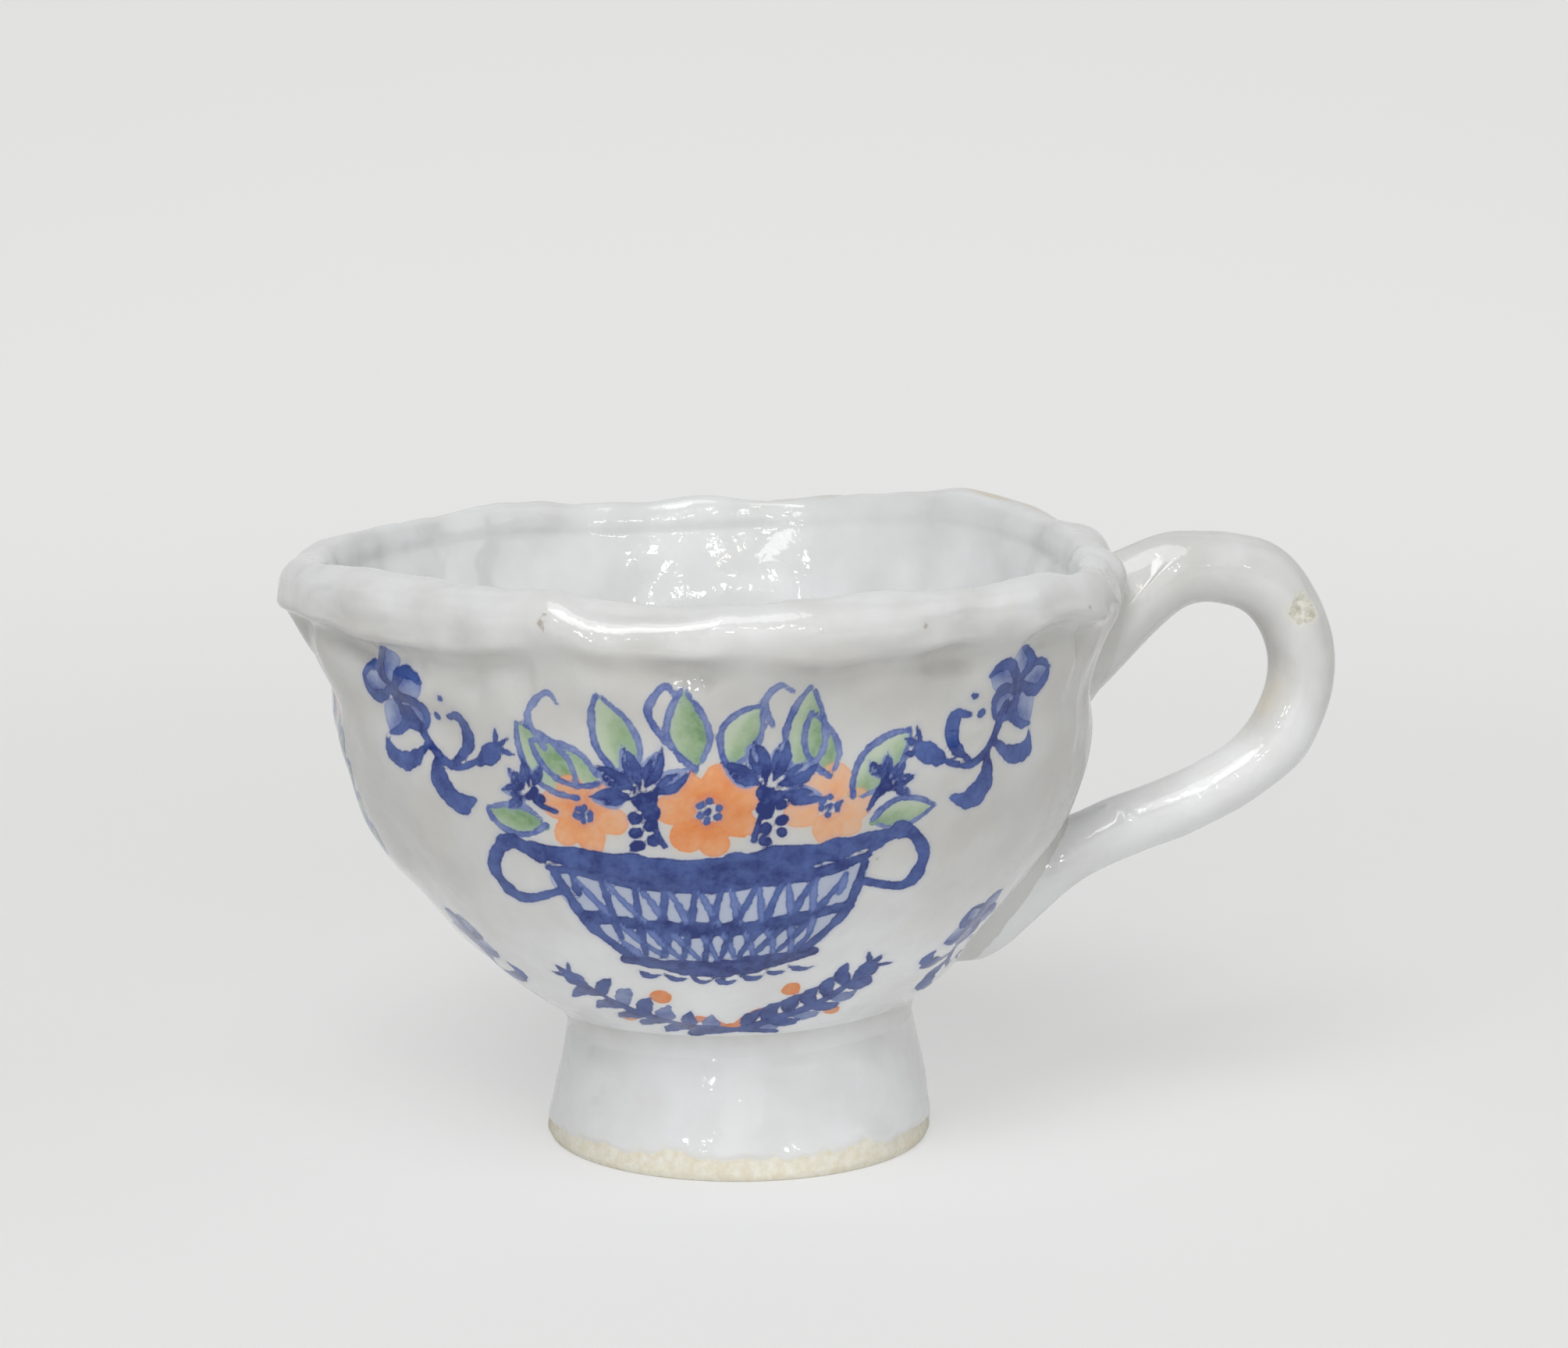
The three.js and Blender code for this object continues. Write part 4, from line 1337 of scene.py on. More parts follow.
def sprig(sheet):
    heart = (-5.4, 3.4)
    for petal in range(5):
        angle = 100 + petal * 72 + hand.normal(0, 7)
        length = 6.2 + hand.normal(0, 0.5)
        tip = polar(heart, angle, length)
        left = polar(polar(heart, angle, length * 0.6), angle + 90, 2.3)
        right = polar(polar(heart, angle, length * 0.6), angle - 90, 2.1)
        last_load = 0.15 + 0.3 * hand.random()
        edge = wash(sheet, "wash", [polar(heart, angle, 0.8), left, tip, right], 1.1, last_load)
        brush(sheet, "cobalt", edge[0:14:3], [0.5, 0.9, 0.75, 0.35], (0.9, 0.6), LINE_SHAKE)
        if petal % 2:
            vein = [polar(heart, angle, 1.2), polar(heart, angle, length * 0.8)]
            brush(sheet, "cobalt", edge[12:23:3], [0.35, 0.65, 0.4], (0.6, 0.8), LINE_SHAKE)
            brush(sheet, "wash", vein, [0.6, 0.3], (0.9, 0.7))
    dot(sheet, "cobalt", heart, 1.1, 0.95)
    draw(sheet, "cobalt", SPRIG_STEM)
    bud(sheet, (11.6, -1.0), 42, 2.5)
    draw(sheet, "cobalt", SPRIG_LEAVES)
    dot(sheet, "cobalt", (1.8, 1.6), 0.55, 0.6)
    dot(sheet, "cobalt", (3.2, 4.6), 0.45, 0.6)


print("a sprig has 5 petals,", len(SPRIG_LEAVES), "curled leaves and a bud")


# %% [markdown]
# ## The flower basket in front
# The front carries a low, woven basket of flowers, an old pattern on country ware. It is painted as a potter
# would: pale washes first, then the weave, then the heavy blue band, and the flowers over its edge.

# %% The basket's strokes
BASKET_FOOT = 20.4
BASKET_TOP = 35.6
BASKET_BODY = [
    (-10, 20.4), (0, 19.4), (10.3, 20.8), (16.4, 27.4), (19.4, 36), (0, 34.4), (-19.4, 35.4), (-16, 27),
]
BASKET_FRAME = [
    ([(-10.2, 20.8), (-15.8, 27.0), (-19.2, 35.0)], [0.6, 0.75, 0.55], (0.8, 0.6)),
    ([(10.4, 21.2), (16.2, 27.6), (19.4, 35.8)], [0.6, 0.8, 0.55], (0.7, 0.85)),
    ([(-15.6, 27.8), (-6, 26.6), (4, 26.4), (16.0, 28.4)], [0.8, 1.25, 1.15, 0.85], (0.95, 0.8)),
    ([(-11.2, 20.6), (-3, 19.4), (4, 19.5), (11.6, 21.0)], [0.9, 1.6, 1.5, 0.9], (0.9, 1.0)),
]
EAR_WIDTHS = [0.8, 1.05, 0.9, 0.8, 0.5]
BASKET_EARS = [
    ([(-20.6, 37.0), (-25.2, 38.6), (-27.4, 34.8), (-24.4, 30.6), (-18.6, 31.8)], EAR_WIDTHS, (0.9, 0.6)),
    ([(20.6, 37.8), (25.2, 39.6), (27.6, 35.8), (24.8, 31.4), (18.8, 32.6)], EAR_WIDTHS, (0.8, 0.75)),
]
BASKET_BAND = [
    ([(-22, 38), (-11, 36), (0, 35.3), (10, 36.2), (22, 39)], [1.0, 2.0, 2.2, 2.1, 1.0], (0.9, 0.8)),
    ([(-20, 35.6), (-9, 33.6), (2, 33), (12, 34.1), (20.2, 36.6)], [0.5, 1.0, 1.15, 0.9, 0.5], (0.7, 1.0)),
    ([(-6, 36.2), (4, 35.7), (16, 37.4)], [0.3, 0.75, 0.3], (1.2, 1.1)),
]
print("the basket is", BASKET_TOP - BASKET_FOOT, "mm high without its band")


# %% Paint the basket
def basket_half(up):
    return blend(10.0, 19.4, np.clip((up - BASKET_FOOT) / (BASKET_TOP - BASKET_FOOT), 0, 1) ** 0.75)


def weave(sheet):
    """Two layers of slanting strands. Each strand is drawn only where it is inside the basket."""
    for lean, strength in ((-1, 0.35), (1, 0.75)):
        for strand in range(-5, 6):
            line = []
            for share in np.linspace(0, 1, 5):
                up = blend(BASKET_FOOT + 0.8, BASKET_TOP - 1.4, share)
                right = strand * blend(2.2, 3.8, share) + lean * blend(-2.0, 2.0, share)
                if abs(right) < basket_half(up) - 0.6:
                    line.append((right, up))
            if len(line) > 1:
                brush(sheet, "cobalt", line, [0.36, 0.58, 0.5, 0.3], (strength, strength * 0.7), 0.2)


def basket(sheet):
    wash(sheet, "wash", BASKET_BODY, 0.06)
    weave(sheet)
    draw(sheet, "cobalt", BASKET_FRAME)
    for foot_mark in range(-3, 4):
        start = (foot_mark * 3.1 - 0.8, 17.6 + 0.07 * foot_mark ** 2)
        comma(sheet, "cobalt", start, -42, 3.2, 0.6, 60, (0.8, 0.5))
    draw(sheet, "cobalt", BASKET_EARS + BASKET_BAND)


print("the basket's half width in the middle:", round(float(basket_half(28)), 1), "mm")

# %% Fill the basket with flowers
# Leaves: where each starts, its angle, its length and width in mm, and how much colour it has.
BASKET_LEAVES = [
    ((-15.5, 45.0), 128, 11.5, 5.4, 0.3), ((-8.6, 47.5), 106, 11.6, 5.2, 0.15),
    ((-0.9, 49.0), 97, 10.4, 5.0, 0.4), ((3.0, 49.4), 64, 8.6, 4.6, 0.12),
    ((11.6, 47.6), 80, 11.4, 5.2, 0.25), ((18.0, 45.0), 44, 11.0, 5.0, 0.12),
    ((20.6, 41.4), 10, 8.4, 4.0, 0.2), ((-19.8, 41.0), 170, 8.2, 3.8, 0.45),
    ((-12.4, 47.0), 150, 9.6, 4.4, 0.1), ((15.4, 47.6), 104, 8.0, 4.0, 0.35),
]
# Blooms: the middle, the size, the number of petals, how much colour, and where the first petal points.
BASKET_BLOOMS = [
    ((0.4, 43.6), 6.6, 7, 0.85, 15), ((-14.8, 42.8), 5.4, 6, 0.5, 40), ((15.2, 43.8), 5.6, 6, 0.22, 5),
]
# Cornflowers: the middle, the way they point, and the size.
CORNFLOWERS = [
    ((-7.3, 45.6), 108, 6.2), ((8.0, 46.0), 70, 6.4), ((-21.4, 45.4), 140, 3.9), ((22.6, 46.2), 52, 3.7),
]
TENDRILS = [
    ([(-4.0, 52.4), (-6.0, 56.8), (-4.0, 59.8), (-2.4, 58.0)], [0.4, 0.55, 0.45, 0.25], (0.9, 0.6)),
    ([(8.6, 54.2), (7.4, 57.8), (9.6, 60.0), (11.4, 58.6)], [0.4, 0.52, 0.45, 0.25], (0.8, 0.6)),
    ([(-18.6, 51.0), (-20.8, 55.4), (-18.6, 58.2), (-16.8, 56.8)], [0.4, 0.5, 0.42, 0.2], (0.7, 0.5)),
]


def basket_flowers(sheet):
    for place_and_shape in BASKET_LEAVES:
        leaf(sheet, *place_and_shape)
    for place_and_shape in BASKET_BLOOMS:
        bloom(sheet, *place_and_shape)
    for place_and_shape in CORNFLOWERS:
        cornflower(sheet, *place_and_shape)
    for berry in range(6):
        side = 0.95 if berry % 2 else -0.95
        for right, lowest in ((-7.4, 38.9), (8.1, 39.3)):
            load = 1.0 + 0.2 * hand.random()
            dot(sheet, "cobalt", (right + side, lowest + berry * 0.95), 0.72, load)
    draw(sheet, "wash", TENDRILS)


print("flowers in the basket:", len(BASKET_BLOOMS) + len(CORNFLOWERS))


# %% Two crossed sprays under the basket
def sprays(sheet):
    for side in (-1, 1):
        stem = [(-5.2 * side, 2.6), (1.6 * side, 4.4), (9.8 * side, 8.0), (17.4 * side, 14.0)]
        brush(sheet, "cobalt", stem, [0.45, 0.75, 0.65, 0.4], (0.85, 0.7))
        for step in range(6):
            at = through(stem, 0.34 + step * 0.115)
            angle = (24 + step * 5) if side > 0 else (156 - step * 5)
            comma(sheet, "cobalt", at, angle + 48, 4.6, 1.15, -side * 34, (1.0, 0.6))
            comma(sheet, "cobalt" if step % 2 else "wash", at, angle - 48, 4.2, 1.05, side * 34, (0.8, 0.7))
        bud(sheet, (18.9 * side, 15.4), 50 if side > 0 else 130, 2.2)
        dot(sheet, "orange", (8.2 * side, 12.6), 1.15, 0.8)
        dot(sheet, "orange", (13.0 * side, 7.0), 1.0, 0.6)
    for side in (-1, 1):
        bow = [(0, 4.6), (3.8 * side, 7.9), (5.6 * side, 5.6), (0.3 * side, 4.0)]
        brush(sheet, "orange", bow, [0.5, 0.8, 0.75, 0.4], (0.95, 0.6))
    dot(sheet, "orange", (0, 4.4), 1.1, 1.0)


front = sheet_at(-90.8, 0.4)
basket(front)
basket_flowers(front)
sprays(front)
print("cobalt covers", int((stroke_depth["cobalt"] > 0).sum()), "points in front")

# %% [markdown]
# ## Round the rest of the cup
# Sprigs fill the empty corners beside the basket. The photograph doesn't show the back, so it gets what such
# cups have: a smaller posy in the same colours between two more sprigs, and a leafy twig that just shows at
# the left edge of the front.

# %% Paint sprigs and the back
POSY_LEAVES = [
    ((-3.5, 4.0), 130, 9.5, 4.4), ((3.8, 3.6), 48, 9.5, 4.4), ((-4.6, -2.0), 205, 9.0, 4.0),
    ((4.6, -2.4), -22, 9.0, 4.0), ((0.2, 5.0), 92, 9.0, 4.0),
]
# Sprigs: degrees round the cup, mm up the wall, lean, size, and whether they are turned over.
SPRIGS = [
    (-134.5, 52.4, -8, 0.9, False), (-45.5, 52.8, 10, 0.9, True), (-153, 16.0, 34, 0.78, True),
    (-33.0, 17.5, -34, 0.78, False), (28.0, 40.0, 20, 0.95, False), (140.0, 42.0, -10, 1.0, True),
    (62.0, 15.0, 10, 0.7, True), (118.0, 14.0, -12, 0.7, False),
]


def posy(sheet):
    for start, angle, length, width in POSY_LEAVES:
        leaf(sheet, start, angle, length, width, 0.2 + 0.3 * hand.random())
    bloom(sheet, (0, 0), 6.4, 7, 0.75)
    brush(sheet, "cobalt", [(0.4, -6.0), (-1.0, -11.0), (1.6, -16.5)], [0.7, 0.55, 0.4], (0.9, 0.7))
    for side in (-1, 1):
        out = 90 - side * 62
        for step in range(4):
            comma(sheet, "cobalt", (0.2, -8.0 - 2.4 * step), out, 4.2, 0.75, -side * 28, (0.95, 0.6))
        comma(sheet, "cobalt", (5.5 * side, 3.0), 90 - side * 58, 6.0, 0.85, side * 26, (0.9, 0.6))
        bud(sheet, (11.5 * side, 6.8), 90 - side * 50, 1.7)


def twig(sheet):
    brush(sheet, "wash", [(0, -10), (1.2, -3), (-0.6, 4), (0.8, 10)], [0.4, 0.5, 0.45, 0.25], (0.8, 0.6))
    for step in range(5):
        leaf(sheet, (0.4, -8 + 4 * step), 40, 6.4, 2.9, 0.45)
        leaf(sheet, (0.2, -6 + 4 * step), 142, 6.2, 2.8, 0.3)
    bloom(sheet, (1.0, 12.2), 3.4, 6, 0.7)


for sprig_place in SPRIGS:
    sprig(sheet_at(*sprig_place))
posy(sheet_at(88, 38, -4, 1.05))
twig(sheet_at(-166, 40, 6, 1.0))
for colour in ("orange", "green"):
    print(colour, "covers", int((stroke_depth[colour] > 0).sum()), "points")

# %% [markdown]
# ## Little faults
# A few nicks and specks tell that this is a thing from a workshop. They use the same brush and the same dark
# colour, and are less than half a millimetre wide. The specks are dark grains in the glaze. The nicks in the
# rim have no dent of their own: their dark colour is painted shade, standing for the hollow of a tiny chip.

# %% Specks in the bowl's glaze
# Specks: degrees round the cup, mm up the wall, the way they run, and how long they are.
SPECKS = [(-64.0, 36.0, 40, 0.25), (64.0, 50.0, 90, 0.8), (150.0, 30.0, 10, 0.3), (20.0, 22.0, 60, 0.3)]
for turn_degrees, up, angle, length in SPECKS:
    speck = sheet_at(turn_degrees, up)
    brush(speck, "nick", [(0, 0), polar((0, 0), angle, length)], [0.26, 0.22, 0.14], (0.7, 0.5), 0)
print("points inside a speck:", int((stroke_depth["nick"] > 0).sum()))

# %% Nicks in the rolled rim, painted as the shade in a tiny chip
# Nicks: degrees round the cup, the place along the outline, the half width, and the way they run, in mm.
RIM_NICKS = [
    (-111.0, AT_TOP - 4.3, 0.36, (0.8, 0.1, -1.5)), (-110.2, AT_TOP - 3.7, 0.3, (-0.3, 0.0, 0.5)),
    (-61.0, AT_TOP - 5.4, 0.36, (0.1, 0.0, -0.3)), (-29.0, AT_TOP - 6.0, 0.36, (0.1, 0.0, 0.3)),
]


def nick_depth(points, places):
    """How deep a point lies in the nearest nick."""
    depth = np.full(len(points), OUT_OF_REACH)
    for turn_degrees, along, half, reach in places:
        start = wall_point(np.radians([turn_degrees]), np.array([along]))[0]
        part, away = off_line(points, start, np.array(reach))
        depth = np.maximum(depth, half * (1 - 0.4 * part) - away)
    return depth


# The rim's nicks are painted shade: they darken the glaze and do not dent it.
rim_nicks = nick_depth(rim_points, RIM_NICKS)
print("rim points inside a nick:", int((rim_nicks > 0).sum()))

# %% Store the painting on the skin
MOST_COLOUR = 1.2


def store(piece, name, values):
    layer = piece.data.attributes.new(name, "FLOAT", "POINT")
    layer.data.foreach_set("value", np.asarray(values, dtype=np.float32))


for colour in COLOURS:
    store(bowl, colour + "_depth", stroke_depth[colour])
    store(bowl, colour + "_load", np.clip(stroke_load[colour], 0, MOST_COLOUR))
store(rim, "nick_depth", rim_nicks)
store(rim, "nick_load", np.full(len(rim_points), 0.3))
store(foot, "bare_depth", foot_bare)
chip_and_caps = np.concatenate([[OUT_OF_REACH], chip_depth.ravel(), [OUT_OF_REACH]])
store(handle, "bare_depth", np.maximum(chip_and_caps, OUT_OF_REACH))
print("stored:", [layer.name for layer in bowl.data.attributes if layer.name.endswith("_depth")])

# %% [markdown]
# ## Thick and thin glaze, and painted shade
# The white coat ran while it melted. It pooled inside, on the foot and low on the wall, and is thinner
# higher up. The same number also carries painted shade: it darkens the wall under the rim, the crease above
# the foot, the handle's roots and the inside of its loop. Over a few edges the coat ran so thin that the
# beige clay shows through. Real glaze does this by itself. Here each point keeps two numbers for it, and the
# material turns them into tones.

# %% How thick the white coat lies, and where it carries painted shade
# The thin coat is also painted shade, on the upper wall and the rim.
THIN_SHADED_COAT = 0.1
POOLED_COAT = 0.9
LOW_EXTRA = 0.8  # how much thicker the coat is low on the wall
LOW_WALL = (22, 54)  # mm above the table, where this begins to fade and where it has gone
COLLAR_SHADE = 0.35

bowl_inside = smooth(bowl_alongs, AT_TOP - 2, AT_TOP + 2)
bowl_height = np.interp(bowl_alongs, line_length, line_height)
# Painted shade: the thin, darker coat high on the wall stands for the shade under the rolled rim.
bowl_coat_and_shade = THIN_SHADED_COAT + LOW_EXTRA * (1 - smooth(bowl_height, *LOW_WALL))
store(bowl, "coat_and_shade", blend(bowl_coat_and_shade, POOLED_COAT, bowl_inside))
rim_inside = smooth(rim_alongs, AT_TOP - 3, AT_TOP + 3)
# Painted shade: the rim's outside darkens down towards the seam, under the roll.
rim_coat_and_shade = THIN_SHADED_COAT + 0.5 * smooth(rim_alongs, AT_SEAM, AT_TOP - 3)
store(rim, "coat_and_shade", blend(rim_coat_and_shade, POOLED_COAT, rim_inside))
store(foot, "coat_and_shade", np.full(len(foot_points), 1.0))
# Painted shade: the fillet darkens from the foot up into the crease under the bowl.
store(foot_joint, "coat_and_shade", np.repeat(np.append(np.linspace(1.0, 0.3, FILLET_ROWS), 0.6), FILLET_COLUMNS))
# Painted shade: the handle's coat darkens where it faces back towards the bowl, inside the loop, and it is
# thinner and darker higher up.
facing_outward = np.concatenate([[0], (handle_facing @ OUTWARD).ravel(), [0]])
handle_coat_and_shade = 0.95 - 0.5 * smooth(handle_points[:, 2], 46, 60) - 0.3 * smooth(-facing_outward, 0.2, 0.9)
store(handle, "coat_and_shade", handle_coat_and_shade)
# Painted shade: the collars round the handle's roots get a thin, dark coat.
for piece in (upper_joint, lower_joint):
    store(piece, "coat_and_shade", np.full(len(piece.data.vertices), COLLAR_SHADE))
print("the wall's coat goes from", round(bowl_coat_and_shade.min(), 2), "to", round(bowl_coat_and_shade.max(), 2))

# %% Where the beige clay shows through
DRIP_RING, DRIP_SIDE = 99, 49
rim_wander = 0.5 * wavering(rim_turns, 7)
rim_behind = smooth(np.sin(rim_turns), 0.1, 0.5)
front_left = smooth(np.sin(rim_turns), -0.1, -0.5) * smooth(np.cos(rim_turns), 0.25, -0.05)
rim_thin = rim_behind * bell(rim_alongs, AT_TOP - 0.4 + rim_wander, 0.7)
rim_thin = rim_thin + front_left * bell(rim_alongs, AT_TOP + 2.5 + rim_wander, 0.6)
store(rim, "thin", rim_thin * (0.7 + 0.6 * wavering(rim_turns, 5, 1.75)))
from_drip = np.linalg.norm(handle_points - handle_grid[DRIP_RING, DRIP_SIDE], axis=1)
store(handle, "thin", 0.5 * bell(from_drip, 0, 5) * (0.5 + lumps(handle_points, 3.0, 4.4)))
print("rim points with thin glaze:", int((rim_thin > 0.5).sum()))

# %% [markdown]
# ## The glaze
# Tin glaze is an opaque, cool white glass over a warm, beige clay. It is thick in hollows and thin on edges,
# where the clay warms it. It mirrors the lamps sharply, yet its skin has the ripple of an orange peel.

# %% A small helper for nodes
def add_node(tree, kind, inputs=None, **settings):
    node = tree.nodes.new(kind)
    for key, value in settings.items():
        setattr(node, key, value)
    for key, value in (inputs or {}).items():
        if isinstance(value, bpy.types.NodeSocket):
            tree.links.new(value, node.inputs[key])
        else:
            node.inputs[key].default_value = value
    return node


def add_maths(tree, operation, *values):
    node = add_node(tree, "ShaderNodeMath", dict(enumerate(values)), operation=operation)
    return node.outputs[0]


def mix_colours(tree, share, first, second):
    node = add_node(tree, "ShaderNodeMix", {0: share, 6: first, 7: second}, data_type="RGBA")
    return node.outputs[2]


def fade_between(tree, value, start, end):
    node = add_node(tree, "ShaderNodeMapRange", {0: value, 1: start, 2: end}, interpolation_type="SMOOTHSTEP")
    return node.outputs[0]


def noise_of(tree, spot, scale, detail=2.0, roughness=0.5):
    """Noise from 0 to 1. The scale is the number of lumps in a metre."""
    settings = {"Vector": spot, "Scale": scale, "Detail": detail, "Roughness": roughness}
    return add_node(tree, "ShaderNodeTexNoise", settings).outputs[0]


def stored_number(tree, name):
    return add_node(tree, "ShaderNodeAttribute", attribute_name=name).outputs["Fac"]


print("helpers for nodes are ready")

# %% Tones of the glaze and the clay
THICK_COOL = (0.925, 0.94, 0.95, 1)
THICK_WHITE = (0.85, 0.86, 0.855, 1)
# The thin tones are also the painted shade of the upper wall, the rim's underside, the crease and the roots.
SHADED_THIN_GREY = (0.655, 0.66, 0.645, 1)
SHADED_THIN_WARM = (0.625, 0.615, 0.585, 1)
THROUGH_GLAZE = (0.76, 0.69, 0.55, 1)
WARM_EDGE = (0.84, 0.81, 0.70, 1)
CLAY = ((0.84, 0.78, 0.62, 1), (0.93, 0.91, 0.81, 1))
CHIPPED = ((0.52, 0.50, 0.40, 1), (0.86, 0.85, 0.77, 1))


def depth_cover(tree, name, spot, wander=0.3, soft=0.13):
    """How much of a colour lies here, from 0 to 1, and how deep inside the stroke this is, in mm."""
    depth = stored_number(tree, name)
    fray = add_maths(tree, "SUBTRACT", noise_of(tree, spot, 1500, 2), 0.5)
    fray = add_maths(tree, "MULTIPLY_ADD", fray, wander, depth)
    return fade_between(tree, fray, -soft, soft), fray


print("thick glaze is", THICK_COOL[:3], "and thin glaze", SHADED_THIN_WARM[:3])


# %% A brush colour in the glaze
def lay_colour(tree, spot, below, colour, pale, deep):
    """The load picks a tone from pale to deep. Colour pools at a stroke's edge and bleeds a bit past it."""
    cover, depth = depth_cover(tree, colour + "_depth", spot)
    load = stored_number(tree, colour + "_load")
    cloud = fade_between(tree, noise_of(tree, spot, 420, 3, 0.65), 0.25, 0.75)
    load = add_maths(tree, "MULTIPLY", load, add_maths(tree, "MULTIPLY_ADD", cloud, 0.5, 0.58))
    pool = add_maths(tree, "SUBTRACT", 1, fade_between(tree, depth, 0.0, 0.34))
    load = add_maths(tree, "MULTIPLY_ADD", pool, 0.2, load)
    shade = mix_colours(tree, load, pale, deep)
    opacity = add_maths(tree, "MULTIPLY", cover, fade_between(tree, load, -0.6, 0.5))
    halo = add_maths(tree, "MULTIPLY", fade_between(tree, depth, -0.9, 0.1), 0.14)
    below = mix_colours(tree, halo, below, pale)
    return mix_colours(tree, opacity, below, shade)


# Each colour has the tone of a thin wash and the tone of a full brush.
PALETTE = [
    ("green", (0.55, 0.66, 0.47, 1), (0.12, 0.27, 0.10, 1)),
    ("orange", (0.86, 0.47, 0.24, 1), (0.80, 0.21, 0.03, 1)),
    ("wash", (0.42, 0.50, 0.69, 1), (0.05, 0.09, 0.34, 1)),
    ("cobalt", (0.14, 0.23, 0.58, 1), (0.002, 0.018, 0.165, 1)),
    # The nick colour is dark specks on the bowl, and painted shade in the rim's nicks.
    ("nick", (0.58, 0.55, 0.49, 1), (0.30, 0.27, 0.22, 1)),
]
print("laid from the bottom up:", [row[0] for row in PALETTE])


# %% Bare clay where the glaze ends
def lay_clay(tree, spot, colour, roughness, height, tones):
    """Dull, grainy clay where the glaze is off, and a warm edge of glaze beside it."""
    uncovered, depth = depth_cover(tree, "bare_depth", spot, 0.5, 0.16)
    grain = noise_of(tree, spot, 900, 4, 0.7)
    clay = mix_colours(tree, fade_between(tree, grain, 0.32, 0.66), *tones)
    warm = add_maths(tree, "MULTIPLY", fade_between(tree, depth, -1.1, 0.0), 0.3)
    colour = mix_colours(tree, warm, colour, WARM_EDGE)
    colour = mix_colours(tree, uncovered, colour, clay)
    roughness = add_maths(tree, "MULTIPLY_ADD", uncovered, 0.75, roughness)
    grain = add_maths(tree, "MULTIPLY", grain, uncovered)
    return colour, roughness, add_maths(tree, "MULTIPLY_ADD", grain, 0.8, height)


print("the clay's tones:", CLAY[0][:3], CLAY[1][:3])


# %% Put the glaze together
def glaze_material(name, colours=(), bare=None):
    material = bpy.data.materials.new(name)
    material.use_nodes = True
    tree = material.node_tree
    shader = tree.nodes["Principled BSDF"]
    spot = add_node(tree, "ShaderNodeTexCoord").outputs["Object"]
    cloud = noise_of(tree, spot, 90, 3)
    patch = fade_between(tree, cloud, 0.3, 0.7)
    thin = mix_colours(tree, patch, SHADED_THIN_WARM, SHADED_THIN_GREY)
    thick = mix_colours(tree, patch, THICK_WHITE, THICK_COOL)
    # The coat number mixes thin, darker glaze into thick glaze: glaze thickness and painted shade together.
    coat_and_shade = stored_number(tree, "coat_and_shade")
    streaks = add_maths(tree, "SUBTRACT", noise_of(tree, spot, 160, 3), 0.5)
    coat_and_shade = add_maths(tree, "MULTIPLY_ADD", streaks, 0.5, coat_and_shade)
    colour = mix_colours(tree, fade_between(tree, coat_and_shade, 0, 1), thin, thick)
    worn = add_maths(tree, "ADD", stored_number(tree, "thin"), streaks)
    colour = mix_colours(tree, fade_between(tree, worn, 0.1, 0.9), colour, THROUGH_GLAZE)
    for pigment, pale, deep in PALETTE:
        if pigment in colours:
            colour = lay_colour(tree, spot, colour, pigment, pale, deep)
    ripple = noise_of(tree, spot, 420, 2)
    pebble = noise_of(tree, spot, 1300, 1)
    height = add_maths(tree, "MULTIPLY_ADD", pebble, 0.25, ripple)
    roughness = fade_between(tree, cloud, 0.2, 0.9)
    roughness = add_maths(tree, "MULTIPLY_ADD", roughness, 0.05, 0.05)
    if bare:
        colour, roughness, height = lay_clay(tree, spot, colour, roughness, height, bare)
    bump = add_node(tree, "ShaderNodeBump", {"Strength": 0.14, "Distance": 0.0006, "Height": height})
    tree.links.new(colour, shader.inputs["Base Color"])
    tree.links.new(roughness, shader.inputs["Roughness"])
    tree.links.new(bump.outputs[0], shader.inputs["Normal"])
    return material


white_glaze = glaze_material("white_glaze")
print("the plain glaze has", len(white_glaze.node_tree.nodes), "nodes")

# %% Glaze every piece
bowl.data.materials.append(glaze_material("painted_glaze", colours=COLOURS))
rim.data.materials.append(glaze_material("rim_glaze", colours=("nick",)))
foot.data.materials.append(glaze_material("foot_glaze", bare=CLAY))
handle.data.materials.append(glaze_material("handle_glaze", bare=CHIPPED))
for piece in (foot_joint, upper_joint, lower_joint):
    piece.data.materials.append(white_glaze)
print("the painted glaze has", len(bowl.active_material.node_tree.nodes), "nodes")

# %% [markdown]
# ## The table and the light
# The photograph was taken on a pale sheet that sweeps up behind the cup. A soft light from above and a
# little from the left makes the shadow on the right, and a few small lamps in front give the sharp spots.

# %% The pale sweep
SWEEP_FRONT = -1.2  # metres
SWEEP_BACK = 0.9
SWEEP_RADIUS = 0.5
SWEEP_TOP = 2.2
SWEEP_HALF = 2.6
SWEEP_STEPS = 24

bend_start = SWEEP_BACK - SWEEP_RADIUS
sweep_line = [(SWEEP_FRONT, 0.0), (bend_start, 0.0)]
for step in range(1, SWEEP_STEPS + 1):
    angle = step / SWEEP_STEPS * math.pi / 2
    sweep_line.append((bend_start + SWEEP_RADIUS * math.sin(angle), SWEEP_RADIUS * (1 - math.cos(angle))))
sweep_line.append((SWEEP_BACK, SWEEP_TOP))
sweep_points = [(side * SWEEP_HALF, y, z) for y, z in sweep_line for side in (-1, 1)]
sweep_faces = [(2 * i, 2 * i + 1, 2 * i + 3, 2 * i + 2) for i in range(len(sweep_line) - 1)]
sweep_mesh = bpy.data.meshes.new("sweep")
sweep_mesh.from_pydata(sweep_points, [], sweep_faces)
sweep_mesh.shade_smooth()
sweep = bpy.data.objects.new("sweep", sweep_mesh)
bpy.context.scene.collection.objects.link(sweep)
print("the sweep has", len(sweep_faces), "strips")

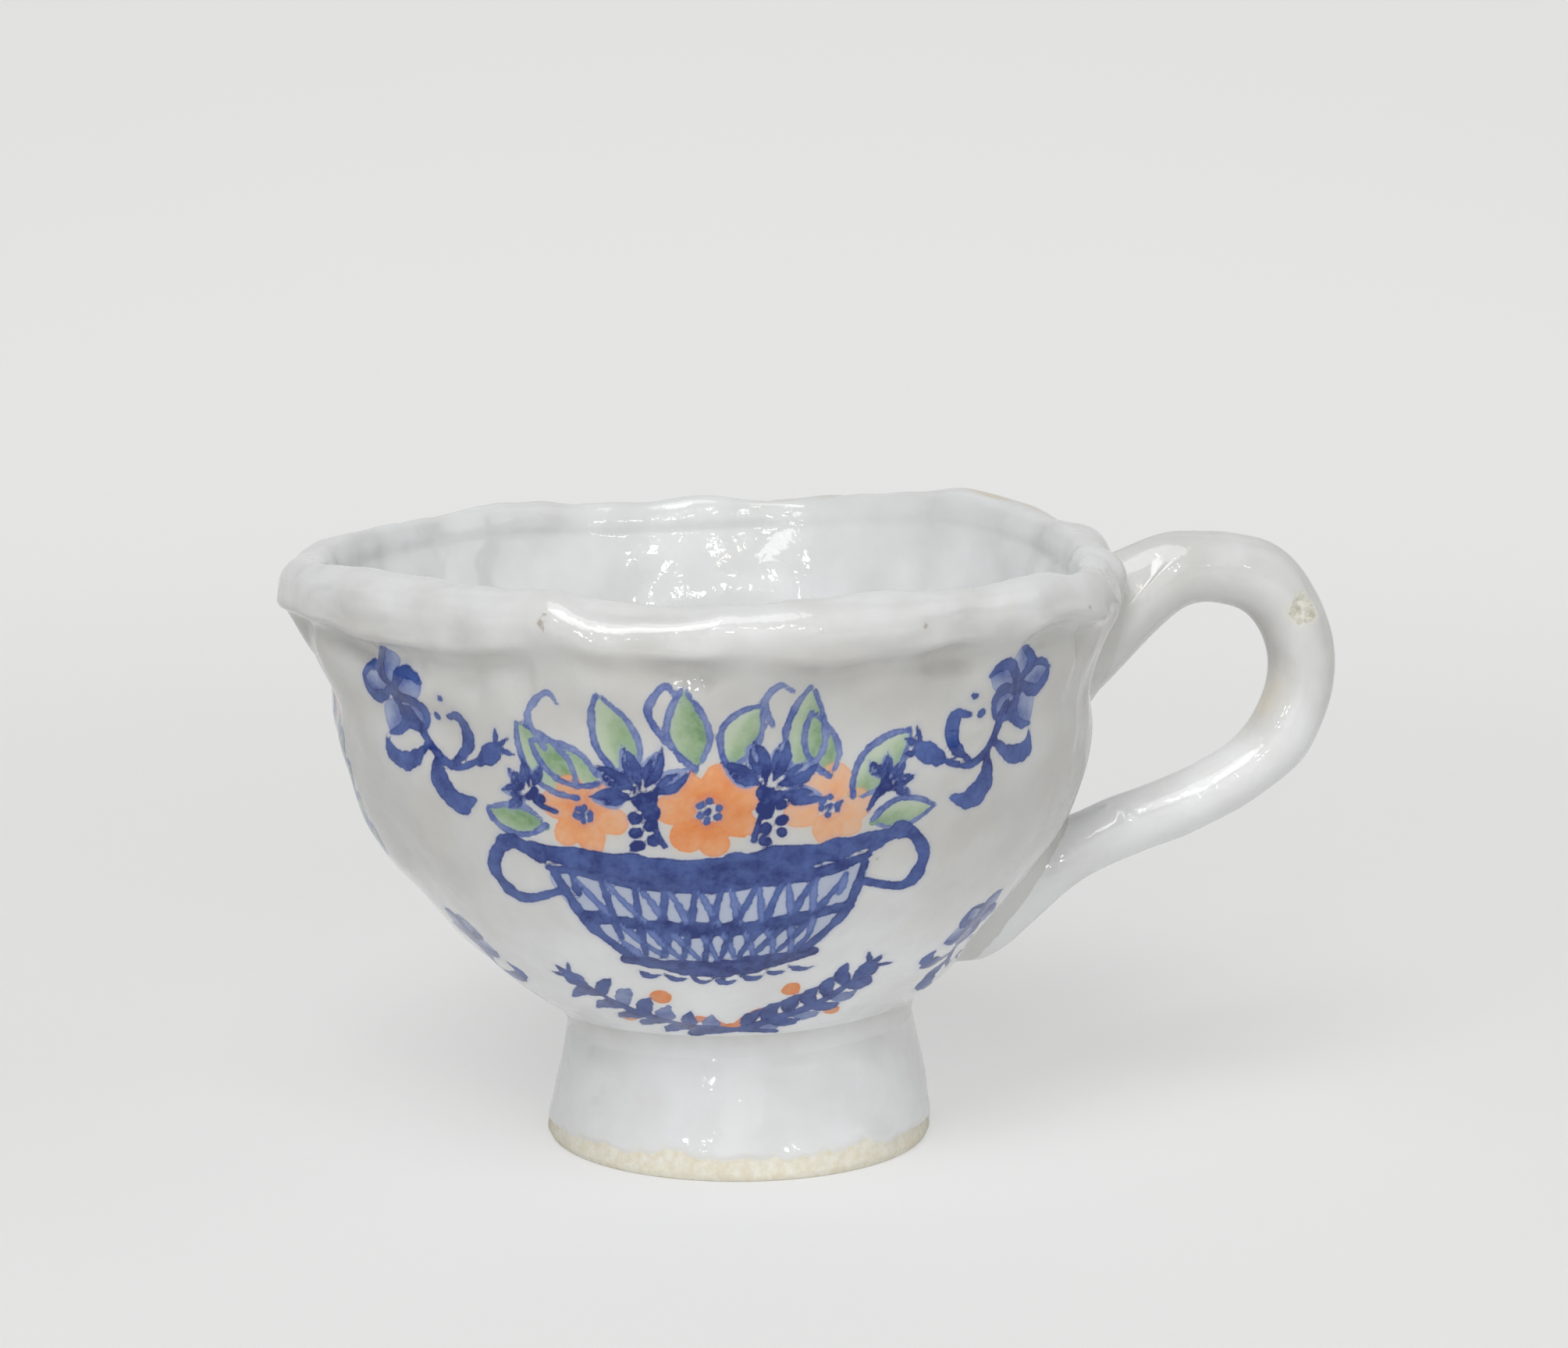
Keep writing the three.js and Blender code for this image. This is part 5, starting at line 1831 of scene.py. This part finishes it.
# %% The tone of the sheet, with painted shade far from the cup
PAPER = (0.89, 0.89, 0.885, 1)
SHADED_FAR_PAPER = (0.755, 0.757, 0.75, 1)

sweep_paper = bpy.data.materials.new("pale_sheet")
sweep_paper.use_nodes = True
sweep_tree = sweep_paper.node_tree
sweep_shader = sweep_tree.nodes["Principled BSDF"]
sweep_shader.inputs["Base Color"].default_value = PAPER
sweep_shader.inputs["Roughness"].default_value = 0.9
sweep_shader.inputs["Specular IOR Level"].default_value = 0.1
# What the camera and the glossy glaze see is lifted to a glowing pale tone, most of all far from the cup.
# That tone darkens away from the cup, which is painted shade.
sweep_spot = add_node(sweep_tree, "ShaderNodeTexCoord").outputs["Object"]
sweep_far = add_node(sweep_tree, "ShaderNodeVectorMath", {0: sweep_spot}, operation="LENGTH").outputs["Value"]
sweep_lift = fade_between(sweep_tree, sweep_far, 0.12, 0.75)
sweep_lift = add_maths(sweep_tree, "MULTIPLY_ADD", sweep_lift, 0.43, 0.54)
sweep_rays = add_node(sweep_tree, "ShaderNodeLightPath").outputs
sweep_seen = add_maths(sweep_tree, "MAXIMUM", sweep_rays["Is Camera Ray"], sweep_rays["Is Glossy Ray"])
sweep_seen = add_maths(sweep_tree, "MAXIMUM", sweep_seen, sweep_rays["Is Transmission Ray"])
# Painted shade: the glow's tone darkens from the near sheet to the far sweep.
sweep_tone = mix_colours(sweep_tree, fade_between(sweep_tree, sweep_far, 0.2, 0.9), PAPER, SHADED_FAR_PAPER)
sweep_glow = add_node(sweep_tree, "ShaderNodeEmission", {"Color": sweep_tone, "Strength": 1.0}).outputs[0]
sweep_share = add_maths(sweep_tree, "MULTIPLY", sweep_lift, sweep_seen)
sweep_layers = {0: sweep_share, 1: sweep_shader.outputs[0], 2: sweep_glow}
sweep_mix = add_node(sweep_tree, "ShaderNodeMixShader", sweep_layers)
sweep_tree.links.new(sweep_mix.outputs[0], sweep_tree.nodes["Material Output"].inputs["Surface"])
sweep_mesh.materials.append(sweep_paper)
print("the sheet's tone goes from", PAPER[:3], "to", SHADED_FAR_PAPER[:3])

# %% Lamps
CUP_MIDDLE = (0.0, 0.0, 0.045)
SPOTS_AWAY = -1.15  # metres; minus is on the camera's side
# Small spots: how far right and how high they stand in metres, and their power in watts.
FRONT_SPOTS = [
    (-0.70, 0.52, 0.35), (-0.42, 0.34, 0.3), (-0.12, 0.62, 0.4),
    (0.05, 0.36, 0.3), (0.34, 0.50, 0.35), (0.62, 0.38, 0.3),
]


def add_lamp(name, place_at, size, power, colour=(1, 1, 1)):
    data = bpy.data.lights.new(name, "AREA")
    data.shape = "DISK"
    data.size = size
    data.energy = power
    data.color = colour
    lamp = bpy.data.objects.new(name, data)
    lamp.location = place_at
    lamp.rotation_euler = (Vector(CUP_MIDDLE) - Vector(place_at)).to_track_quat("-Z", "Y").to_euler()
    bpy.context.scene.collection.objects.link(lamp)


add_lamp("high_front", (-0.14, -0.72, 1.25), 0.9, 5.9)
add_lamp("front", (-0.32, -0.97, 1.02), 0.6, 4.4)
add_lamp("low_front", (0.1, -1.25, 0.35), 0.8, 1.5)
for spot_number, (right, high, power) in enumerate(FRONT_SPOTS):
    add_lamp("spot_" + str(spot_number), (right, SPOTS_AWAY, high), 0.08, power)
add_lamp("small_high", (-0.1, -0.75, 1.2), 0.06, 0.4)
add_lamp("small_warm", (0.22, SPOTS_AWAY, 0.72), 0.05, 0.25, (1, 0.86, 0.62))
add_lamp("side_right", (1.1, -0.15, 0.8), 1.0, 1.9)
print("lamps:", [lamp.name for lamp in bpy.data.lights])

# %% The room round the sheet
ROOM_LIGHT = 0.09
ROOM_SEEN = 0.67  # how much brighter the room looks to the camera than it shines on the cup
world = bpy.data.worlds.new("room")
world.use_nodes = True
room = world.node_tree.nodes["Background"]
room.inputs["Color"].default_value = (0.99, 0.995, 1.0, 1)
seen = add_node(world.node_tree, "ShaderNodeLightPath").outputs["Is Camera Ray"]
room_strength = add_maths(world.node_tree, "MULTIPLY_ADD", seen, ROOM_SEEN, ROOM_LIGHT)
world.node_tree.links.new(room_strength, room.inputs["Strength"])
bpy.context.scene.world = world
bpy.context.scene.view_settings.view_transform = "Standard"
print("the room shines at", ROOM_LIGHT)

# %% [markdown]
# ## Hand the pieces over
# Each new skin stands for one piece of the CAD and rides on the cup's only body. The CAD pieces stay in the
# file for collisions, hidden.

# %% Name what each skin stands for
handed_over = [
    (bowl, "bowl", "painted_glaze"),
    (rim, "rim_coil", "white_glaze"),
    (foot, "foot_ring", "white_glaze"),
    (foot_joint, "foot_joint", "white_glaze"),
    (handle, "handle", "white_glaze"),
    (upper_joint, "handle_upper_joint", "white_glaze"),
    (lower_joint, "handle_lower_joint", "white_glaze"),
]
for piece, node_name, slot_name in handed_over:
    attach(piece, "root")
    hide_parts(node_name)
print("skins:", [piece.name for piece, _, _ in handed_over])
